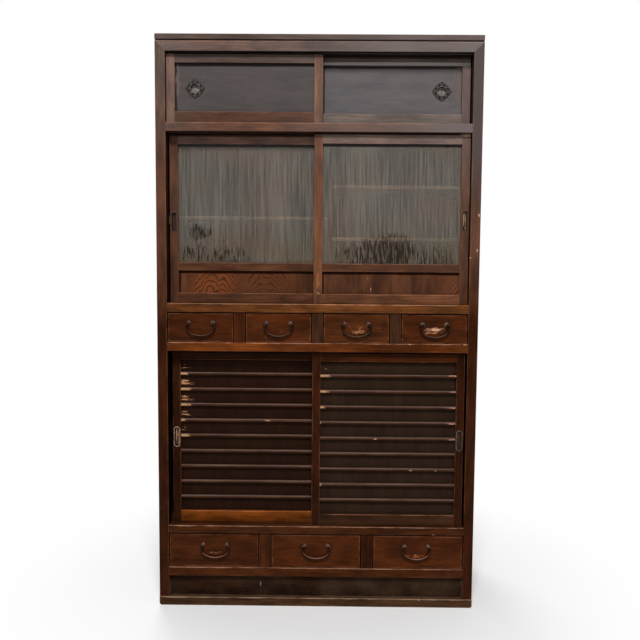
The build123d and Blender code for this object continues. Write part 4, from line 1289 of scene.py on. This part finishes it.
def chased_plate(name, centre):
    """Wrap a grid round the cup, chase it, and give it thickness down to the panel."""
    plate = added(bpy.ops.mesh.primitive_grid_add, name, x_subdivisions=192, y_subdivisions=22, size=1.0)
    heights = plate.data.attributes.new("chased_height", "FLOAT", "POINT")
    under_rim = ring_radius - 1.0
    for number, vertex in enumerate(plate.data.vertices):
        turn, out = (vertex.co.x + 0.5) * 2 * pi, vertex.co.y + 0.5
        radius = under_rim + (plate_edge(turn) - under_rim) * out
        height = plate_height(turn, out)
        heights.data[number].value = height
        away = plate_thickness + height
        vertex.co = centre + MM * Vector((radius * cos(turn), -away, radius * sin(turn)))
    start_editing(plate)
    bpy.ops.mesh.remove_doubles(threshold=0.005 * MM)
    bpy.ops.mesh.select_all(action="DESELECT")
    bpy.ops.mesh.select_mode(type="EDGE")
    bpy.ops.mesh.select_non_manifold(extend=False, use_wire=False, use_multi_face=False,
                                     use_non_contiguous=False, use_verts=False)
    bpy.ops.mesh.extrude_region_move()
    bpy.ops.transform.resize(value=(1.0, 0.0, 1.0), center_override=centre)
    bpy.ops.mesh.bridge_edge_loops()
    face_outward()
    stop_editing(60)
    return plate


# %% [markdown]
# The cup itself was turned on a lathe. A ring of edges is extruded, widened and pushed along its
# axis once for every corner of the cup's profile, from the floor up the wall, over the rolled rim
# and down the outside.

# %% A turned cup
cup_profile = ((13.2, 7.2), (13.5, 5.0), (13.5, -1.4), (13.9, -2.4), (14.8, -3.0), (15.8, -2.5),
               (16.4, -1.6), (16.4, 0.0), (14.5, 0.0), (14.5, 8.5))     # radius and depth in mm


def turned_cup(name, centre):
    """Turn a cup from a ring that is drawn out step by step, then close its floor and its back."""
    first_radius, first_depth = cup_profile[0]
    cup = added(bpy.ops.mesh.primitive_circle_add, name, vertices=64, radius=first_radius * MM,
                fill_type="NGON", location=centre + Vector((0.0, first_depth * MM, 0.0)),
                rotation=(pi / 2, 0.0, 0.0))
    bpy.ops.object.transform_apply(location=True, rotation=True, scale=True)
    start_editing(cup)
    bpy.ops.mesh.select_mode(type="EDGE")
    for (radius, depth), (next_radius, next_depth) in zip(cup_profile, cup_profile[1:]):
        bpy.ops.mesh.extrude_edges_move()
        widen = next_radius / radius
        bpy.ops.transform.resize(value=(widen, 1.0, widen), center_override=centre)
        bpy.ops.transform.translate(value=(0.0, (next_depth - depth) * MM, 0.0))
    bpy.ops.mesh.edge_face_add()
    face_outward()
    stop_editing(45)
    return cup


# %% [markdown]
# Plates and cups wear in different places: the plate on its crests, the cup on its rim and on the
# floor, where the finger tips press. The cup's wall is painted black as the shade inside the cup,
# and the normal in the piece's own coordinates tells the wall from the floor.

# %% Chased iron
def shaded_cup_wall(tree, colour):
    """The rim and the floor of a cup are rubbed, and its wall is painted black as the shade inside the
    cup.
    """
    front = step(tree, axes(tree, own_normal(tree))[1], -0.5, -0.85)
    return blend(tree, front, tint(10, 8, 7), colour)


chased_iron = iron("chased iron", tint(76, 69, 66), tint(112, 104, 100), tint(80, 68, 60), 0.5, 0.2,
                   black_hollows)
turned_iron = iron("turned iron", tint(82, 75, 72), tint(132, 124, 118), tint(96, 84, 76), 0.45, 0.2,
                   shaded_cup_wall)
cup_back = cup_profile[-1][1] * MM
for side in ("left", "right"):
    node = f"upper_{side}_door_pull"
    low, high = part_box(node)
    centre = Vector(((low.x + high.x) / 2, high.y - cup_back, (low.z + high.z) / 2))
    cup = turned_cup(f"upper_{side}_turned_cup", centre)
    cup.data.materials.append(turned_iron)
    settle(cup, node)
    plate = chased_plate(f"upper_{side}_chased_plate", centre)
    plate.data.materials.append(chased_iron)
    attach(plate, f"upper_{side}_door")
print("chased pulls made")

# %% [markdown]
# ## Rippled glass
# The panes are figured glass: one face carries fine upright ribs like running rain, which let light
# through but scatter it sideways. A flat pane with a drawn pattern would look dead from the side, so
# the front face is a fine grid pushed in and out by noise that is stretched upright.

# %% Glass panes
pane_columns, pane_rows = 300, 60
rib_depth = 0.3 * MM
run_at = 142.0           # mm from the middle: where the film ran down thickest on each pane


def rippled_pane(node):
    """A pane with ribs on its front face and a flat back."""
    low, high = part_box(node)
    size, centre = high - low, (high + low) / 2
    piece = added(bpy.ops.mesh.primitive_grid_add, node + "_rippled", x_subdivisions=pane_columns,
                  y_subdivisions=pane_rows, size=1.0)
    for vertex in piece.data.vertices:
        x, z = vertex.co.x * size.x, vertex.co.y * size.z
        rib = noise.noise((x * 170.0, z * 6.0, 3.0)) + 0.5 * noise.noise((x * 360.0, z * 12.0, 9.0))
        vertex.co = (centre.x + x, low.y + rib_depth * (1.0 + max(-1.0, min(1.0, rib))), centre.z + z)
    start_editing(piece)
    bpy.ops.mesh.extrude_region_move()
    bpy.ops.transform.resize(value=(1.0, 0.0, 1.0), center_override=(0.0, high.y, 0.0))
    face_outward()
    stop_editing(50)
    settle(piece, node)
    return piece


# %% [markdown]
# Old figured glass in a kitchen is never quite clear. A film of grease makes it grey, and drops that
# ran down have washed the film off in short upright strokes near the foot; there the film is thinner
# and is painted dark as the shaded inside. The film is drawn with transparency in Alpha, so that the
# shelves behind stay faintly visible, and the strokes are the places where a stretched noise is high.
# Under the rail at the top, a band is painted dark and opaque as the rail's shadow.

# %% Glass with its film
# A drip area is its middle and its reach, as x and z in mm, and how much of the film is gone.
drip_areas = (((-378, 1190), (42, 26), 0.55), ((-392, 1128), (60, 34), 0.4),
              ((-285, 1118), (90, 30), 0.45), ((205, 1132), (125, 58), 0.7), ((360, 1118), (70, 36), 0.4),
              ((120, 1120), (80, 40), 0.4))


def pane_glass():
    """Grey film with upright streaks, washed off in dark drips low down, and a painted shadow under the
    rail.
    """
    material, tree, shader = new_material("rippled glass", Roughness=0.3, Specular_IOR_Level=0.2)
    place = own_place(tree)
    spot = axes(tree, place)
    ribs = cloud(tree, stretch(tree, place, (235.0, 1.0, 7.0)), 1.0, 1.0, 0.6)
    wide = cloud(tree, stretch(tree, place, (14.0, 1.0, 3.0)), 1.0, 3.0)
    run = unsigned(tree, minus(tree, unsigned(tree, spot[0]), run_at * MM))
    run = step(tree, run, 60.0 * MM, 0.0, 0.0, 0.2)
    streak = plus(tree, maths(tree, "MULTIPLY_ADD", ribs, 0.8, times(tree, wide, 0.2)),
                  times(tree, run, ribs))
    streak = step(tree, streak, 0.28, 0.74)
    warmth = step(tree, cloud(tree, stretch(tree, place, (4.0, 1.0, 8.0)), 1.0, 2.0), 0.35, 0.65)
    thin = blend(tree, warmth, tint(90, 87, 80), tint(96, 86, 78))
    thick = blend(tree, warmth, tint(122, 118, 109), tint(128, 115, 105))
    colour = blend(tree, streak, thin, thick)
    low_down = step(tree, spot[2], 1.27, 1.06)
    patchy = step(tree, cloud(tree, stretch(tree, place, (7.0, 1.0, 10.0)), 1.0, 3.0), 0.3, 0.6)
    brown = times(tree, low_down, patchy, 0.7)
    colour = blend(tree, brown, colour, tint(104, 84, 60))
    strokes = cloud(tree, stretch(tree, place, (290.0, 1.0, 34.0)), 1.0, 2.0, 0.5)
    drips = None
    for (x, z), (reach_x, reach_z), cover in drip_areas:
        offset = vectors(tree, "SUBTRACT", place, (x * MM, 0.0, z * MM))
        offset = stretch(tree, offset, (1000.0 / reach_x, 0.0, 1000.0 / reach_z))
        ragged = maths(tree, "MULTIPLY_ADD", wide, 0.9, minus(tree, 0.55, length(tree, offset)))
        area = times(tree, step(tree, ragged, -0.25, 0.5), cover)
        drips = area if drips is None else greater(tree, drips, area)
    washed = step(tree, plus(tree, strokes, times(tree, drips, 0.36)), 0.64, 0.72)
    washed = times(tree, washed, step(tree, drips, 0.05, 0.2))
    # The washed strokes are painted dark brown as the shaded inside behind the thinner film.
    colour = blend(tree, times(tree, washed, 0.85), colour, tint(38, 30, 20))
    below_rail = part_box("glass_left_door_pane")[1].z - groove_reach * MM
    # A band under the rail is painted dark and opaque as the rail's shadow on the glass.
    shade_under_rail = step(tree, spot[2], below_rail - 9.0 * MM, below_rail - 7.0 * MM)
    colour = blend(tree, shade_under_rail, colour, tint(14, 11, 9))
    tree.links.new(colour, shader.inputs["Base Color"])
    film = maths(tree, "MULTIPLY_ADD", streak, 0.12, 0.42)
    film = times(tree, film, step(tree, washed, 0.0, 1.0, 1.0, 0.8))
    tree.links.new(greater(tree, film, shade_under_rail), shader.inputs["Alpha"])
    bump = put(tree, "ShaderNodeBump", {"Strength": 0.3, "Distance": 0.0005, "Height": ribs})
    tree.links.new(bump.outputs["Normal"], shader.inputs["Normal"])
    return material


rain_glass = pane_glass()
for side in ("left", "right"):
    rippled_pane(f"glass_{side}_door_pane").data.materials.append(rain_glass)
print("panes of", pane_columns, "by", pane_rows, "cells")

# %% [markdown]
# ## Stage, light and camera
# A cabinet this dark needs broad, soft light: one large softbox above the front, which also puts the
# sheen on the upper boards, a weak one behind it for the sides and the back, and an even pale
# surrounding. The floor fades into the white of the surrounding, so no horizon shows, but it still
# takes the cabinet's shadow.

# %% Stage
def seen(tree):
    """1 for rays from the camera, or by way of metal and glass."""
    path = put(tree, "ShaderNodeLightPath").outputs
    mirrored = greater(tree, path["Is Glossy Ray"], path["Is Transmission Ray"])
    return greater(tree, path["Is Camera Ray"], mirrored)


surround_strength = 0.16
world = bpy.data.worlds.new("pale surround")
scene.world = world
world.use_nodes = True
tree = world.node_tree
surround = tree.nodes["Background"]
surround.inputs["Color"].default_value = grey(1.0)
strength = maths(tree, "MULTIPLY_ADD", seen(tree), 1.0 - surround_strength, surround_strength)
tree.links.new(strength, surround.inputs["Strength"])

floor = added(bpy.ops.mesh.primitive_circle_add, "studio_floor", vertices=96, radius=14.0,
              fill_type="NGON")
material, tree, shader = new_material("pale floor", Base_Color=grey(0.92), Roughness=0.8,
                                      Specular_IOR_Level=0.1)
fade = times(tree, step(tree, length(tree, own_place(tree)), 0.35, 1.2), seen(tree))
white = put(tree, "ShaderNodeEmission", {"Color": grey(1.0), "Strength": 1.0}).outputs[0]
mixed = put(tree, "ShaderNodeMixShader", {0: fade, 1: shader.outputs[0], 2: white}).outputs[0]
tree.links.new(mixed, tree.nodes["Material Output"].inputs["Surface"])
floor.data.materials.append(material)
print("stage set")

# %% [markdown]
# The lamps are wide rectangles, so their shadows are soft. Each is aimed at a point of the cabinet:
# a lamp shines along its own -Z, and the direction is turned into angles from that.

# %% Lamps
def softbox(name, place, target, width, height, power):
    """A rectangular soft lamp aimed at a point."""
    lamp = bpy.data.lights.new(name, "AREA")
    lamp.shape = "RECTANGLE"
    lamp.size = width
    lamp.size_y = height
    lamp.energy = power
    holder = new_object(name, lamp)
    holder.location = place
    holder.rotation_euler = (Vector(target) - Vector(place)).to_track_quat("-Z", "Y").to_euler()


softbox("overhead softbox", (0.05, -4.2, 5.5), (0.0, -0.2, 1.0), 1.7, 1.1, 375.0)
softbox("rear fill", (-1.6, 4.4, 3.6), (0.0, 0.2, 0.9), 2.4, 1.8, 130.0)
print("lamps placed")

# %% [markdown]
# The camera stands a little above the middle of the cabinet, close to its centre line, and looks
# slightly down. Its axes are worked out from three small angles.

# %% Camera
camera_data = bpy.data.cameras.new("front camera")
camera_data.lens = 43.875
camera_data.sensor_width = 36.0
camera_place = Vector((0.0275, -2.6289, 1.1212))
pitch, yaw, roll = radians(4.73), radians(-0.46), radians(0.42)
ahead = Vector((sin(yaw) * cos(pitch), cos(yaw) * cos(pitch), -sin(pitch)))
right = Vector((cos(yaw), -sin(yaw), 0.0))
above = right.cross(ahead)
leaning_right = cos(roll) * right + sin(roll) * above
leaning_up = cos(roll) * above - sin(roll) * right
turned = Matrix((leaning_right, leaning_up, -ahead)).transposed().to_4x4()
camera = new_object("front camera", camera_data)
camera.matrix_world = Matrix.Translation(camera_place) @ turned
scene.camera = camera
scene.view_settings.view_transform = "Standard"
print("camera at", tuple(round(c, 3) for c in camera.matrix_world.translation))
